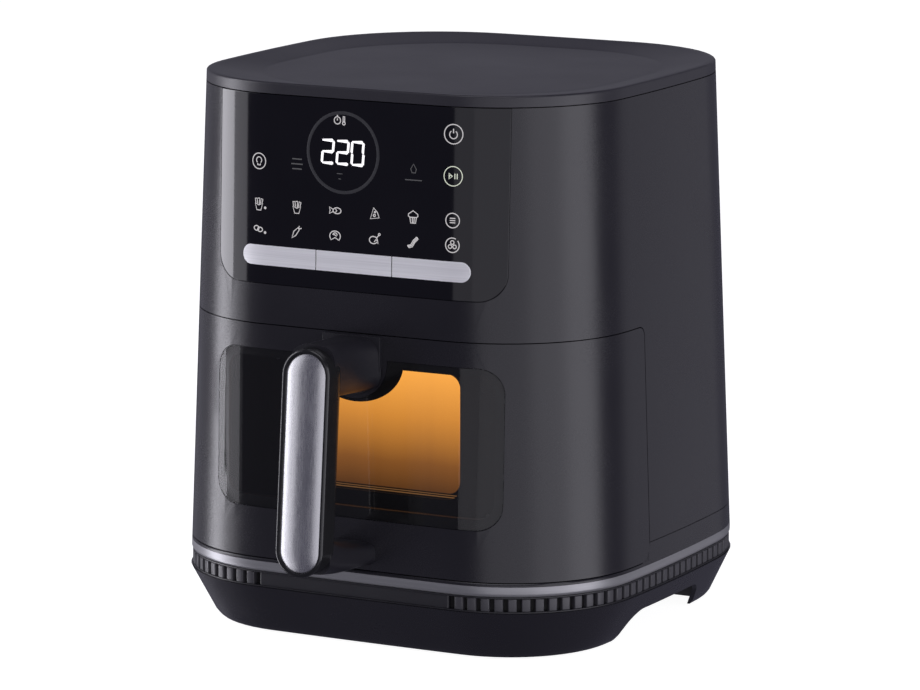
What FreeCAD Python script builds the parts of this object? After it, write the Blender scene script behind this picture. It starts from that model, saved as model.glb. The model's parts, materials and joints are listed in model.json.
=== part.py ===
import FreeCAD, Part

import math
import os
import re

import Sketcher

# An air fryer with a windowed pull-out drawer. Millimetres, +Z up, the drawer pulls out towards -Y.
# The origin is the centre of the underside, in the plane the feet stand on.

os.makedirs("parts", exist_ok=True)
doc = FreeCAD.newDocument("air_fryer")

# ---------------------------------------------------------------- driving dimensions

DRIVING = {
    # the tapered body: half sizes of its plan at the top and at the foot line, and its crowned outline
    "body_height": 330.0,
    "half_width_top": 135.0,
    "half_depth_top": 135.5,
    "half_width_low": 145.0,
    "half_depth_low": 141.5,
    "foot_line": 47.0,
    "front_corner": 80.0,
    "rear_corner": 90.0,
    "side_crown": 1150.0,
    "face_crown": 3500.0,
    "half_width_skirt": 129.2,
    "half_depth_skirt": 127.2,
    "skirt_corner": 65.0,
    # levels up the body
    "foot_height": 5.0,
    "skirt_bottom": 1.4,
    "skirt_top": 31.0,
    "vent_top": 40.5,
    "ring_top": 46.8,
    "lip_top": 48.7,
    "drawer_bottom": 49.3,
    "side_seam": 59.6,
    "drawer_top": 187.9,
    "main_seam": 188.5,
    "panel_bottom": 212.0,
    "lid_seam": 323.0,
    "seam_gap": 0.4,
    "wrap_seam": 41.0,
    # walls
    "housing_wall": 2.8,
    "drawer_wall": 3.0,
    "base_wall": 3.0,
    "vent_depth": 7.0,
    "fin_inset": 0.9,
    "slot_pitch": 8.0,
    "slot_width": 2.1,
    "plain_front": 63.0,
    # hand arches in the skirt
    "arch_front": 60.0,
    "arch_rear": 55.0,
    "arch_height": 18.6,
    "arch_slope": 15.0,
    "grip_wall": 108.0,
    # control panel
    "panel_half": 95.0,
    "panel_corner": 16.0,
    "panel_thick": 2.0,
    "bar_half": 75.0,
    "bar_level": 228.65,
    "bar_height": 11.8,
    "dial_side": -7.5,
    "dial_level": 292.3,
    "dial_radius": 24.0,
    "board_front": 126.0,
    # window and drawer
    "glass_half": 94.5,
    "glass_low": 79.2,
    "glass_high": 173.3,
    "glass_corner": 15.0,
    "notch_level": 172.0,
    "notch_radius": 22.6,
    "inner_panel": 104.0,
    "bulkhead": 98.0,
    "mouth_half": 110.5,
    "mouth_low": 62.0,
    "mouth_high": 182.0,
    # handle
    "reach_top": 193.4,
    "reach_bottom": 205.4,
    "grip_top": 187.4,
    "grip_bottom": 56.5,
    "grip_depth": 19.0,
    "grip_width": 31.0,
    "plate_width": 27.0,
    "tongue_half": 18.9,
    "tongue_level": 171.5,
    "root_low": 50.6,
    "root_high": 66.0,
    "root_half": 16.0,
    # chamber and basket
    "liner_half": 114.0,
    "liner_rear": 113.0,
    "liner_low": 60.0,
    "liner_high": 221.0,
    "liner_corner": 36.0,
    "basket_half": 104.0,
    "basket_rear": 98.0,
    "basket_low": 66.2,
    "basket_high": 175.0,
    "basket_corner": 28.0,
    "sheet": 1.2,
    "port_half": 50.0,
    "port_low": 90.0,
    "port_high": 161.0,
    "crisper_level": 86.0,
    # motor and heater
    "shaft_side": 5.0,
    "shaft_radius": 4.0,
    "heater_radius": 90.0,
    "heater_tube": 3.4,
    "heater_level": 203.0,
    "guard_level": 190.0,
    "shield_level": 226.0,
    "motor_level": 262.0,
    "lamp_side": 92.0,
    "lamp_back": 86.0,
    "lamp_radius": 13.0,
    # rear
    "grille_half": 43.5,
    "grille_low": 191.5,
    "grille_high": 220.5,
    "inlet_level": 80.0,
    # door switch
    "switch_side": 117.0,
    "switch_level": 120.0,
    "screw_radius": 1.5,
}

sheet = doc.addObject("Spreadsheet::Sheet", "Dimensions")
for row, (alias, number) in enumerate(DRIVING.items(), 1):
    sheet.set(f"A{row}", alias)
    sheet.set(f"B{row}", str(number))
    sheet.setAlias(f"B{row}", alias)
doc.recompute()


def bound(text):
    """The expression with each dimension's name led back to the sheet."""
    return re.sub(r"[a-z_]+", lambda m: "Dimensions." + m[0] if m[0] in DRIVING else m[0], str(text))


def value(text):
    return float(sheet.evalExpression(bound(text)))


def bind(item, path, text):
    item.setExpression(path, bound(text))


# ---------------------------------------------------------------- sketches

def new_body(label):
    body = doc.addObject("PartDesign::Body", label)
    body.Label = label
    return body


def new_sketch(body, role, offset="0"):
    """A sketch on one of the body's own planes. XY faces +Z, XZ faces -Y and YZ faces +X."""
    sketch = body.newObject("Sketcher::SketchObject", body.Name + "_sketch")
    plane = next(item for item in body.Origin.OriginFeatures if item.Role == role)
    sketch.AttachmentSupport = (plane, [""])
    sketch.MapMode = "FlatFace"
    bind(sketch, "AttachmentOffset.Base.z", offset)
    return sketch


def fix(sketch, kind, geometry, point, text):
    """A driving constraint on one point, or on a whole curve where point is None."""
    where = (geometry,) if point is None else (geometry, point)
    index = sketch.addConstraint(Sketcher.Constraint(kind, *where, value(text)))
    bind(sketch, f"Constraints[{index}]", text)


def chain(sketch, curves, kind):
    """Add curves end to end as one closed loop and return their indices."""
    loop = [sketch.addGeometry(curve, False) for curve in curves]
    for here, after in zip(loop, loop[1:] + loop[:1]):
        sketch.addConstraint(Sketcher.Constraint(kind, here, 2, after, 1))
    return loop


def arc(centre, radius, start, end):
    circle = Part.Circle(FreeCAD.Vector(*centre, 0), FreeCAD.Vector(0, 0, 1), radius)
    return Part.ArcOfCircle(circle, start, end)


def polygon(sketch, corners):
    spots = [FreeCAD.Vector(value(x), value(y), 0) for x, y in corners]
    sides = [Part.LineSegment(a, b) for a, b in zip(spots, spots[1:] + spots[:1])]
    for side, (x, y) in zip(chain(sketch, sides, "Coincident"), corners):
        fix(sketch, "DistanceX", side, 1, x)
        fix(sketch, "DistanceY", side, 1, y)


def rectangle(sketch, left, right, low, high):
    polygon(sketch, [(left, low), (right, low), (right, high), (left, high)])


def circle(sketch, x, y, radius):
    centre = FreeCAD.Vector(value(x), value(y), 0)
    index = sketch.addGeometry(Part.Circle(centre, FreeCAD.Vector(0, 0, 1), value(radius)), False)
    fix(sketch, "Radius", index, None, radius)
    fix(sketch, "DistanceX", index, 3, x)
    fix(sketch, "DistanceY", index, 3, y)


def rounded(sketch, left, right, low, high, radius):
    """A rectangle with four equal round corners, tangent all the way round."""
    x0, x1, y0, y1, r = (value(text) for text in (left, right, low, high, radius))
    vector = FreeCAD.Vector
    quarter = math.pi / 2
    loop = chain(sketch, [
        Part.LineSegment(vector(x0 + r, y0, 0), vector(x1 - r, y0, 0)),
        arc((x1 - r, y0 + r), r, -quarter, 0),
        Part.LineSegment(vector(x1, y0 + r, 0), vector(x1, y1 - r, 0)),
        arc((x1 - r, y1 - r), r, 0, quarter),
        Part.LineSegment(vector(x1 - r, y1, 0), vector(x0 + r, y1, 0)),
        arc((x0 + r, y1 - r), r, quarter, 2 * quarter),
        Part.LineSegment(vector(x0, y1 - r, 0), vector(x0, y0 + r, 0)),
        arc((x0 + r, y0 + r), r, 2 * quarter, 3 * quarter),
    ], "Tangent")
    for index, kind in zip(loop[::2], ("Horizontal", "Vertical", "Horizontal", "Vertical")):
        sketch.addConstraint(Sketcher.Constraint(kind, index))
    for index in loop[1::2]:
        fix(sketch, "Radius", index, None, radius)
    for index, kind, text in zip(loop[::2], ("DistanceY", "DistanceX") * 2, (low, right, high, left)):
        fix(sketch, kind, index, 1, text)


def meeting(first, radius_first, second, radius_second, toward):
    """Where two circles cross, on the side that toward points to."""
    span = math.dist(first, second)
    along = (radius_first**2 - radius_second**2 + span**2) / (2 * span)
    away = math.sqrt(radius_first**2 - along**2)
    ux, uy = (second[0] - first[0]) / span, (second[1] - first[1]) / span
    spots = [(first[0] + along * ux - side * away * uy, first[1] + along * uy + side * away * ux)
             for side in (1, -1)]
    return max(spots, key=lambda spot: spot[0] * toward[0] + spot[1] * toward[1])


def crowned(sketch, half_x, half_y, front, rear, side, face):
    """The body's plan: four slightly crowned sides joined by four tangent corner arcs."""
    hx, hy, rf, rr, rs, rc = (value(text) for text in (half_x, half_y, front, rear, side, face))
    centres = [(hx - rs, 0.0), (0.0, hy - rc), (rs - hx, 0.0), (0.0, rc - hy)]
    radii = [rs, rc, rs, rc]
    corners = []
    for index, (corner, toward) in enumerate(zip((rr, rr, rf, rf), ((1, 1), (-1, 1), (-1, -1), (1, -1)))):
        after = (index + 1) % 4
        corners.append(meeting(centres[index], radii[index] - corner,
                               centres[after], radii[after] - corner, toward))

    def heading(start, end):
        return math.atan2(end[1] - start[1], end[0] - start[0])

    curves = []
    for index in range(4):
        before, here = corners[index - 1], corners[index]
        curves.append(arc(centres[index], radii[index],
                          heading(centres[index], before), heading(centres[index], here)))
        after = (index + 1) % 4
        corner_radius = (rr, rr, rf, rf)[index]
        curves.append(arc(here, corner_radius, heading(centres[index], here), heading(centres[after], here)))
    loop = chain(sketch, curves, "Tangent")
    horizontal_axis, vertical_axis = -1, -2
    for index, axis in zip(loop[::2], (horizontal_axis, vertical_axis) * 2):
        sketch.addConstraint(Sketcher.Constraint("PointOnObject", index, 3, axis))
    for index, text in zip(loop[::2], (side, face, side, face)):
        fix(sketch, "Radius", index, None, text)
    for index, text in zip(loop[1::2], (rear, rear, front, front)):
        fix(sketch, "Radius", index, None, text)
    fix(sketch, "DistanceX", loop[0], 3, f"({half_x}) - ({side})")
    fix(sketch, "DistanceY", loop[2], 3, f"({half_y}) - ({face})")
    fix(sketch, "DistanceX", loop[4], 3, f"({side}) - ({half_x})")
    fix(sketch, "DistanceY", loop[6], 3, f"({face}) - ({half_y})")


def half_width(level):
    return ("(half_width_top + (half_width_low - half_width_top)"
            f" * (body_height - ({level})) / (body_height - foot_line))")


def half_depth(level):
    return ("(half_depth_top + (half_depth_low - half_depth_top)"
            f" * (body_height - ({level})) / (body_height - foot_line))")


def section(body, level, inset="0"):
    """The body's outline at a level, moved inwards by inset."""
    sketch = new_sketch(body, "XY_Plane", level)
    crowned(sketch, f"{half_width(level)} - ({inset})", f"{half_depth(level)} - ({inset})",
            f"front_corner - ({inset})", f"rear_corner - ({inset})",
            f"side_crown - ({inset})", f"face_crown - ({inset})")
    return sketch


def skirt_section(body, level, inset="0"):
    """The outline of the skirt, which draws in towards the table."""
    sketch = new_sketch(body, "XY_Plane", level)
    crowned(sketch, f"half_width_skirt - ({inset})", f"half_depth_skirt - ({inset})",
            f"skirt_corner - ({inset})", f"skirt_corner - ({inset})",
            f"side_crown - ({inset})", f"face_crown - ({inset})")
    return sketch


# ---------------------------------------------------------------- features

def feature(body, kind, **settings):
    item = body.newObject("PartDesign::" + kind, body.Name + "_" + kind.lower())
    for name, setting in settings.items():
        setattr(item, name, setting)
    body.Tip = item
    return item


def pad(body, sketch, length, toward_back=False):
    item = feature(body, "Pad", Profile=sketch, Reversed=toward_back)
    bind(item, "Length", length)
    return item


def pocket(body, sketch, length, along_normal=True):
    """A pocket cuts against its sketch's normal, so it is reversed to cut along it."""
    item = feature(body, "Pocket", Profile=sketch, Reversed=along_normal)
    bind(item, "Length", length)
    return item


def loft(body, first, second, cut=False):
    kind = "SubtractiveLoft" if cut else "AdditiveLoft"
    return feature(body, kind, Profile=first, Sections=[second], Ruled=True)


def turn(body, corners, cut=False):
    """Revolve a profile of (radius, level) corners about the body's own Z axis."""
    sketch = new_sketch(body, "XZ_Plane")
    polygon(sketch, corners)
    return feature(body, "Groove" if cut else "Revolution", Profile=sketch,
                   ReferenceAxis=(sketch, ["V_Axis"]), Angle=360)


def repeat(body, items, count):
    """Repeat features in a circle about the body's own Z axis."""
    axis = next(item for item in body.Origin.OriginFeatures if item.Role == "Z_Axis")
    return feature(body, "PolarPattern", Originals=items, Axis=(axis, [""]), Occurrences=count, Angle=360)


def block(body, left, right, front, rear, low, high):
    """Add a block between two X, two Y and two Z levels."""
    sketch = new_sketch(body, "XY_Plane", low)
    rectangle(sketch, left, right, front, rear)
    return pad(body, sketch, f"({high}) - ({low})")


def across(first, second):
    """Two X levels in rising order."""
    return sorted((first, second), key=value)


def drum(body, x, y, radius, low, high, cut=False):
    """Add or cut an upright cylinder."""
    sketch = new_sketch(body, "XY_Plane", low)
    circle(sketch, x, y, radius)
    make = pocket if cut else pad
    return make(body, sketch, f"({high}) - ({low})")


def lying_drum(body, x, z, radius, front, rear, cut=False):
    """Add or cut a cylinder along Y, between two Y levels given from the front to the back."""
    sketch = new_sketch(body, "XZ_Plane", f"-({rear})")
    circle(sketch, x, z, radius)
    make = pocket if cut else pad
    return make(body, sketch, f"({rear}) - ({front})")


def place(item, x="0", y="0", z="0"):
    """Stand a piece at a place bound to the sheet."""
    bind(item, "Placement.Base.x", x)
    bind(item, "Placement.Base.y", y)
    bind(item, "Placement.Base.z", z)


def combine(kind, label, base, tool):
    item = doc.addObject("Part::" + kind, label)
    item.Base = base
    item.Tool = tool
    item.Label = label
    return item


def gather(label, pieces):
    item = doc.addObject("Part::MultiFuse", label)
    item.Shapes = pieces
    item.Label = label
    return item


def group(label, pieces):
    """Several separate solids of one kind under one name."""
    item = doc.addObject("Part::Compound", label)
    item.Links = pieces
    item.Label = label
    return item


def wall_layer(label, low, high, outer, inner):
    """The layer of the body's wall between two insets and two levels."""
    body = new_body(label)
    loft(body, section(body, low, outer), section(body, high, outer))
    loft(body, section(body, low, inner), section(body, high, inner), cut=True)
    return body


def front_prism(label, draw):
    """A prism through the front wall with the outline that draw puts in its sketch."""
    body = new_body(label)
    sketch = new_sketch(body, "XZ_Plane", "100")
    draw(sketch)
    pad(body, sketch, "80")
    return body


def cylinder(label, radius, length, x="0", y="0", z="0"):
    item = doc.addObject("Part::Cylinder", label)
    bind(item, "Radius", radius)
    bind(item, "Height", length)
    place(item, x, y, z)
    return item


def box(label, left, right, front, rear, low, high):
    item = doc.addObject("Part::Box", label)
    bind(item, "Length", f"({right}) - ({left})")
    bind(item, "Width", f"({rear}) - ({front})")
    bind(item, "Height", f"({high}) - ({low})")
    place(item, left, front, low)
    item.Label = label
    return item


def torus(label, ring, tube, level, sweep=360):
    item = doc.addObject("Part::Torus", label)
    bind(item, "Radius1", ring)
    bind(item, "Radius2", tube)
    item.Angle3 = sweep
    place(item, "0", "shaft_side", level)
    return item


nodes = []


def keep(item):
    nodes.append(item)
    return item


# ---------------------------------------------------------------- base

SCREW_PLACES = [(sx * 62, sy * 88) for sx in (-1, 1) for sy in (-1, 1)]
FOOT_PLACES = [(sx * 84, sy * 84) for sx in (-1, 1) for sy in (-1, 1)]


def arch_outline(sketch, grow):
    """The hand arch, seen from the side."""
    polygon(sketch, [
        (f"-(arch_front + {grow})", "-1"),
        (f"arch_rear + {grow}", "-1"),
        (f"arch_rear + {grow}", "skirt_bottom"),
        (f"arch_rear - arch_slope + {grow}", f"arch_height + {grow}"),
        (f"-(arch_front - arch_slope + {grow})", f"arch_height + {grow}"),
        (f"-(arch_front + {grow})", "skirt_bottom")])


def make_base_housing():
    body = new_body("base_housing")
    loft(body, skirt_section(body, "skirt_bottom"), section(body, "skirt_top"))
    pad(body, section(body, "skirt_top", "vent_depth"), "vent_top - skirt_top")
    pad(body, section(body, "vent_top", "2.6"), "ring_top - vent_top")
    pad(body, section(body, "ring_top"), "lip_top - ring_top")
    loft(body, section(body, "lip_top"), section(body, "side_seam"))
    # the inside: the skirt, the wall behind the vents and the tray above the deck
    loft(body, skirt_section(body, "skirt_bottom", "base_wall"),
         section(body, "skirt_top - 2", "base_wall + 0.4"), cut=True)
    pocket(body, section(body, "skirt_top - 2", "vent_depth + 2.2"), "vent_top + 4.8 - skirt_top")
    pocket(body, section(body, "lip_top", "housing_wall"), "side_seam - lip_top")
    front = new_sketch(body, "YZ_Plane", "-200")
    rounded(front, "-260", "-wrap_seam + 0.6", "lip_top", "side_seam + 60", "12")
    pocket(body, front, "400")
    for offset in ("grip_wall + 1", "-240"):
        sketch = new_sketch(body, "YZ_Plane", offset)
        arch_outline(sketch, 0)
        pocket(body, sketch, "240 - grip_wall - 1")
    for x, y in SCREW_PLACES:
        drum(body, x, y, "4.5", "8.4", "vent_top + 3")
    for x, y in SCREW_PLACES:
        drum(body, x, y, "screw_radius", "8.4", "22", cut=True)
    return keep(body)


def make_bottom_plate():
    """The pan that closes the base, with a walled pocket behind each hand arch."""
    body = new_body("bottom_plate")
    pad(body, skirt_section(body, "foot_height", "base_wall - 1.4"), "3")
    for left, right in (("grip_wall", "200"), ("-200", "-grip_wall")):
        sketch = new_sketch(body, "XY_Plane", "foot_height")
        rectangle(sketch, left, right, "-arch_front - 2", "arch_rear + 2")
        pocket(body, sketch, "3")
    for inner, outer, reach, rim in (("grip_wall - 2", "grip_wall", "127", "135"),
                                     ("2 - grip_wall", "-grip_wall", "-127", "-135")):
        block(body, *across(inner, outer), "-arch_front - 2", "arch_rear + 2", "foot_height", "24")
        block(body, *across(inner, rim), "-arch_front - 2", "arch_rear + 2", "22", "24")
        for front, rear in (("-arch_front - 2", "-arch_front"), ("arch_rear", "arch_rear + 2")):
            block(body, *across(inner, reach), front, rear, "foot_height", "24")
    for x, y in SCREW_PLACES:
        drum(body, x, y, "screw_radius + 0.2", "foot_height", "foot_height + 3", cut=True)
    return keep(body)


def make_feet():
    feet = []
    for index, (x, y) in enumerate(FOOT_PLACES):
        foot = doc.addObject("Part::Cone", f"foot_{index}")
        bind(foot, "Radius1", "8")
        bind(foot, "Radius2", "9")
        bind(foot, "Height", "foot_height")
        place(foot, str(x), str(y))
        feet.append(foot)
    return keep(group("rubber_feet", feet))


def upright_screws(label, places, head_low, head_high, tip, head_radius="3"):
    """Pan-head screws standing upright, heads down."""
    screws = []
    for index, (x, y) in enumerate(places):
        head = cylinder(f"{label}_head_{index}", head_radius, f"({head_high}) - ({head_low})", x, y, head_low)
        shank_long = f"({tip}) - ({head_high})"
        shank = cylinder(f"{label}_shank_{index}", "screw_radius", shank_long, x, y, head_high)
        screws.append(gather(f"{label}_{index}", [head, shank]))
    return keep(group(label, screws))


def make_trim_ring():
    body = new_body("trim_ring")
    loft(body, section(body, "vent_top", "1.7"), section(body, "vent_top + 2.2", "0.2"))
    loft(body, section(body, "vent_top + 2.2", "0.2"), section(body, "ring_top", "0"))
    pocket(body, section(body, "vent_top", "2.6"), "ring_top - vent_top")
    return keep(body)


def outline_walk(half_x, half_y, inset, pitch):
    """Evenly spaced places along the front half of the outline, with their outward headings."""
    front, rear = value("front_corner") - inset, value("rear_corner") - inset
    side, face = value("side_crown") - inset, value("face_crown") - inset
    right, back = (half_x - side, 0.0), (0.0, half_y - face)
    front_centre = (0.0, face - half_y)
    corner_front = meeting(right, side - front, front_centre, face - front, (1, -1))
    corner_rear = meeting(right, side - rear, back, face - rear, (1, 1))

    def heading(start, end):
        return math.atan2(end[1] - start[1], end[0] - start[0])

    runs = [(front_centre, face, -math.pi / 2, heading(front_centre, corner_front)),
            (corner_front, front, heading(front_centre, corner_front), heading(right, corner_front)),
            (right, side, heading(right, corner_front), heading(right, corner_rear)),
            (corner_rear, rear, heading(right, corner_rear), heading(back, corner_rear)),
            (back, face, heading(back, corner_rear), math.pi / 2)]
    places = []
    travelled = -value("plain_front") - 4.0
    for centre, radius, start, end in runs:
        length = radius * (end - start)
        while travelled < length:
            if travelled >= 0:
                angle = start + travelled / radius
                x = centre[0] + radius * math.cos(angle)
                y = centre[1] + radius * math.sin(angle)
                places.append((x, y, angle))
                travelled += pitch
            else:
                # the plain stretch in the middle of the front has no slots
                travelled = -travelled
        travelled -= length
    return places


def make_vent_band():
    """Upright fins between two rails, round the whole body but for the middle of the front."""
    ring = new_body("vent_ring")
    loft(ring, section(ring, "skirt_top", "fin_inset"), section(ring, "vent_top", "fin_inset"))
    pocket(ring, section(ring, "skirt_top", "vent_depth"), "vent_top - skirt_top")
    low, high = value("skirt_top") + 0.8, value("vent_top") - 0.8
    half_x, half_y = value(half_width("skirt_top")), value(half_depth("skirt_top"))
    width, depth = value("slot_width"), value("vent_depth")
    slots = []
    for x, y, angle in outline_walk(half_x, half_y, 0.0, value("slot_pitch")):
        for side in (1, -1):
            slot = Part.makeBox(depth + 2, width, high - low, FreeCAD.Vector(-depth - 1, -width / 2, low))
            turned = math.degrees(angle) if side > 0 else 180 - math.degrees(angle)
            slot.rotate(FreeCAD.Vector(0, 0, 0), FreeCAD.Vector(0, 0, 1), turned)
            slot.translate(FreeCAD.Vector(side * x, y, 0))
            slots.append(slot)
    cutter = doc.addObject("Part::Feature", "vent_slots")
    cutter.Shape = Part.makeCompound(slots)
    return keep(combine("Cut", "vent_band", ring, cutter))


# ---------------------------------------------------------------- shell

def panel_outline(sketch, grow="0"):
    """The control panel's outline: square at the lid, round at the bottom."""
    rounded(sketch, f"-(panel_half + {grow})", f"panel_half + {grow}",
            f"panel_bottom - {grow}", "body_height + 60", "panel_corner")


def bar_outline(sketch, grow="0"):
    rounded(sketch, f"-(bar_half + {grow})", f"bar_half + {grow}",
            f"bar_level - bar_height / 2 - {grow}", f"bar_level + bar_height / 2 + {grow}",
            "bar_height / 2 - 0.05")


def make_upper_housing():
    body = new_body("housing_shell")
    low, high = "side_seam + seam_gap", "lid_seam"
    loft(body, section(body, low), section(body, high))
    loft(body, section(body, low, "housing_wall"), section(body, high, "housing_wall"), cut=True)
    drawer_bay = new_sketch(body, "YZ_Plane", "-200")
    rounded(drawer_bay, "-260", "-wrap_seam + 0.6", "0", "main_seam", "6")
    pocket(body, drawer_bay, "400")
    display = new_sketch(body, "XZ_Plane", "100")
    rounded(display, "-86", "86", "220", "316", "6")
    pocket(body, display, "80")
    outlet = new_sketch(body, "XZ_Plane", "-180")
    rectangle(outlet, "-(grille_half + 0.3)", "grille_half + 0.3", "grille_low - 0.3", "grille_high + 0.3")
    pocket(body, outlet, "80")
    lying_drum(body, "0", "inlet_level", "7.1", "100", "180", cut=True)
    seat = combine("Common", "panel_seat",
                   wall_layer("seat_layer", "panel_bottom - 20", "lid_seam + 5", "-1", "panel_thick"),
                   front_prism("seat_prism", lambda sketch: panel_outline(sketch, "0.25")))
    return keep(combine("Cut", "upper_housing", body, seat))


def make_control_panel():
    """The gloss lens over the symbols, with a shallow seat for the mode bar and one for the dial ring."""
    lens = combine("Common", "panel_lens",
                   wall_layer("lens_layer", "panel_bottom - 20", "lid_seam", "0", "panel_thick"),
                   front_prism("lens_prism", panel_outline))
    bar_seat = combine("Common", "bar_seat",
                       wall_layer("bar_seat_layer", "panel_bottom", "lid_seam - 40", "-1", "0.8"),
                       front_prism("bar_seat_prism", bar_outline))
    with_bar = combine("Cut", "lens_with_bar", lens, bar_seat)
    dial_seat = combine("Common", "dial_seat",
                        wall_layer("dial_seat_layer", "panel_bottom", "lid_seam", "-1", "0.5"),
                        front_prism("dial_seat_prism", dial_outline))
    return keep(combine("Cut", "control_panel", with_bar, dial_seat))


def dial_outline(sketch):
    circle(sketch, "dial_side", "dial_level", "dial_radius")
    circle(sketch, "dial_side", "dial_level", "dial_radius - 0.9")


def make_mode_bar():
    return keep(combine("Common", "mode_bar",
                        wall_layer("bar_layer", "panel_bottom", "lid_seam - 40", "-0.3", "0.8"),
                        front_prism("bar_prism", bar_outline)))


def make_dial_ring():
    return keep(combine("Common", "dial_ring",
                        wall_layer("dial_layer", "panel_bottom", "lid_seam", "-0.15", "0.5"),
                        front_prism("dial_prism", dial_outline)))


def make_lid_cover():
    """The lid: a rim that falls by a soft slope to a flat middle, and a shallow hollow below."""
    body = new_body("lid_cover")
    low = "lid_seam + seam_gap"
    loft(body, section(body, low), section(body, "body_height - 1.2"))
    loft(body, section(body, "body_height - 1.2"), section(body, "body_height", "1.2"))
    floor = new_sketch(body, "XY_Plane", "body_height - 3.6")
    crowned(floor, "111", "111", "82", "88", "side_crown", "face_crown")
    loft(body, floor, section(body, "body_height", "4"), cut=True)
    pocket(body, section(body, low, "3.2"), "0.9")
    return keep(body)


def make_front_frame():
    """The bulkhead behind the drawer front, its side walls and the shelf under the panel."""
    body = new_body("front_frame")
    low, high = "lip_top + 0.2", "main_seam + 0.1"
    loft(body, section(body, low, "4.4"), section(body, high, "4.4"))
    front = new_sketch(body, "YZ_Plane", "-200")
    rectangle(front, "-260", "-bulkhead", "0", "260")
    pocket(body, front, "400")
    rear = new_sketch(body, "YZ_Plane", "-200")
    rectangle(rear, "-38", "260", "0", "260")
    pocket(body, rear, "400")
    hollow = new_sketch(body, "XY_Plane", low)
    rectangle(hollow, "-(liner_half + 1)", "liner_half + 1", "-bulkhead + 2.5", "100")
    pocket(body, hollow, f"{high} - ({low})")
    # side pockets between the liner and the side walls
    for side in (1, -1):
        sketch = new_sketch(body, "XY_Plane", low)
        ends = ["119.5", "127.5"] if side > 0 else ["-127.5", "-119.5"]
        rectangle(sketch, ends[0], ends[1], "-84", "20")
        pocket(body, sketch, f"{high} - ({low})")
    mouth = new_sketch(body, "XZ_Plane", "80")
    rounded(mouth, "-mouth_half", "mouth_half", "mouth_low", "mouth_high", "12")
    pocket(body, mouth, "60")
    shelf = section(body, high, "housing_wall + 0.1")
    pad(body, shelf, "2.5")
    opening = new_sketch(body, "XY_Plane", "main_seam - 3")
    rectangle(opening, "-(liner_half + 1)", "liner_half + 1", "-bulkhead + 2.5", "260")
    pocket(body, opening, "10")
    behind = new_sketch(body, "YZ_Plane", "-200")
    rectangle(behind, "-38", "260", "0", "260")
    pocket(body, behind, "400")
    switch_bay = new_sketch(body, "XY_Plane", "switch_level - 9")
    rectangle(switch_bay, "switch_side - 3", "switch_side + 4.5", "-bulkhead + 2.5", "-79")
    pocket(body, switch_bay, "18")
    lying_drum(body, "switch_side", "switch_level", "2.3", "-bulkhead - 1", "-bulkhead + 4", cut=True)
    return keep(body)


def make_rear_grille():
    """The outlet at the back: a plate that fills its opening, with level slots."""
    layer = wall_layer("grille_layer", "grille_low - 5", "grille_high + 5", "-1", "housing_wall")
    prism = new_body("grille_prism")
    sketch = new_sketch(prism, "XZ_Plane", "-180")
    rectangle(sketch, "-grille_half", "grille_half", "grille_low", "grille_high")
    pad(prism, sketch, "80")
    for index in range(5):
        slot = new_sketch(prism, "XZ_Plane", "-180")
        level = f"grille_low + 2.2 + {index} * 5.4"
        rectangle(slot, "-grille_half + 4", "grille_half - 4", level, f"{level} + 3")
        pocket(prism, slot, "80")
    return keep(combine("Common", "rear_grille", layer, prism))


def make_exhaust_duct():
    body = new_body("exhaust_duct")
    for half, low, high, cut in (("42", "193", "219", False), ("40.5", "194.5", "217.5", True)):
        sketch = new_sketch(body, "XZ_Plane", "-(liner_rear + 0.1)")
        rectangle(sketch, f"-{half}", half, low, high)
        if cut:
            pocket(body, sketch, "21.5", along_normal=False)
        else:
            pad(body, sketch, "21.5", toward_back=True)
    return keep(body)


def make_cord_inlet():
    """The gland in the back wall that a mains cord enters through."""
    body = new_body("cord_inlet")
    face = value(half_depth("inlet_level - 10"))
    lying_drum(body, "0", "inlet_level", "10", f"{face:.2f}", f"{face + 3:.2f}")
    lying_drum(body, "0", "inlet_level", "7", f"{face - 8:.2f}", f"{face:.2f}")
    lying_drum(body, "0", "inlet_level", "3.4", f"{face - 9:.2f}", f"{face + 4:.2f}", cut=True)
    return keep(body)


# ---------------------------------------------------------------- electronics behind the panel

def make_light_guide():
    """The black frame that keeps each symbol's light apart, with a bay for the display."""
    body = new_body("light_guide")
    sketch = new_sketch(body, "XZ_Plane", "board_front")
    rounded(sketch, "-72", "72", "222", "314", "5")
    pad(body, sketch, "4.6")
    bay = new_sketch(body, "XZ_Plane", "board_front")
    rectangle(bay, "dial_side - 20", "dial_side + 20", "dial_level - 11", "dial_level + 11")
    pocket(body, bay, "6")
    return keep(body)


def make_display_module():
    return keep(box("display_module", "dial_side - 19.6", "dial_side + 19.6", "-board_front - 4.4",
                    "-board_front", "dial_level - 10.6", "dial_level + 10.6"))


def make_touch_board():
    return keep(box("touch_board", "-80", "80", "-board_front", "-board_front + 1.6", "220", "316"))


def make_ribbon_cable():
    return keep(box("ribbon_cable", "70", "78", "-board_front + 1.6", "-66", "238.6", "239.4"))


def make_power_board():
    return keep(box("power_board", "64", "108", "-66", "30", "238", "239.6"))


def make_board_relays():
    return keep(group("board_relays", [
        box(f"relay_{index}", "70", "86", f"{-50 + 26 * index}", f"{-30 + 26 * index}", "239.6", "255")
        for index in range(2)]))


def make_board_capacitor():
    return keep(cylinder("board_capacitor", "6", "20", "98", "-40", "239.6"))


def make_board_standoffs():
    places = [(x, y) for x in (68, 104) for y in (-61, 25)]
    return keep(group("board_standoffs", [
        cylinder(f"standoff_{index}", "3", "238 - shield_level - 1", x, y, "shield_level + 1")
        for index, (x, y) in enumerate(places)]))


# ---------------------------------------------------------------- hot chamber

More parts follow.
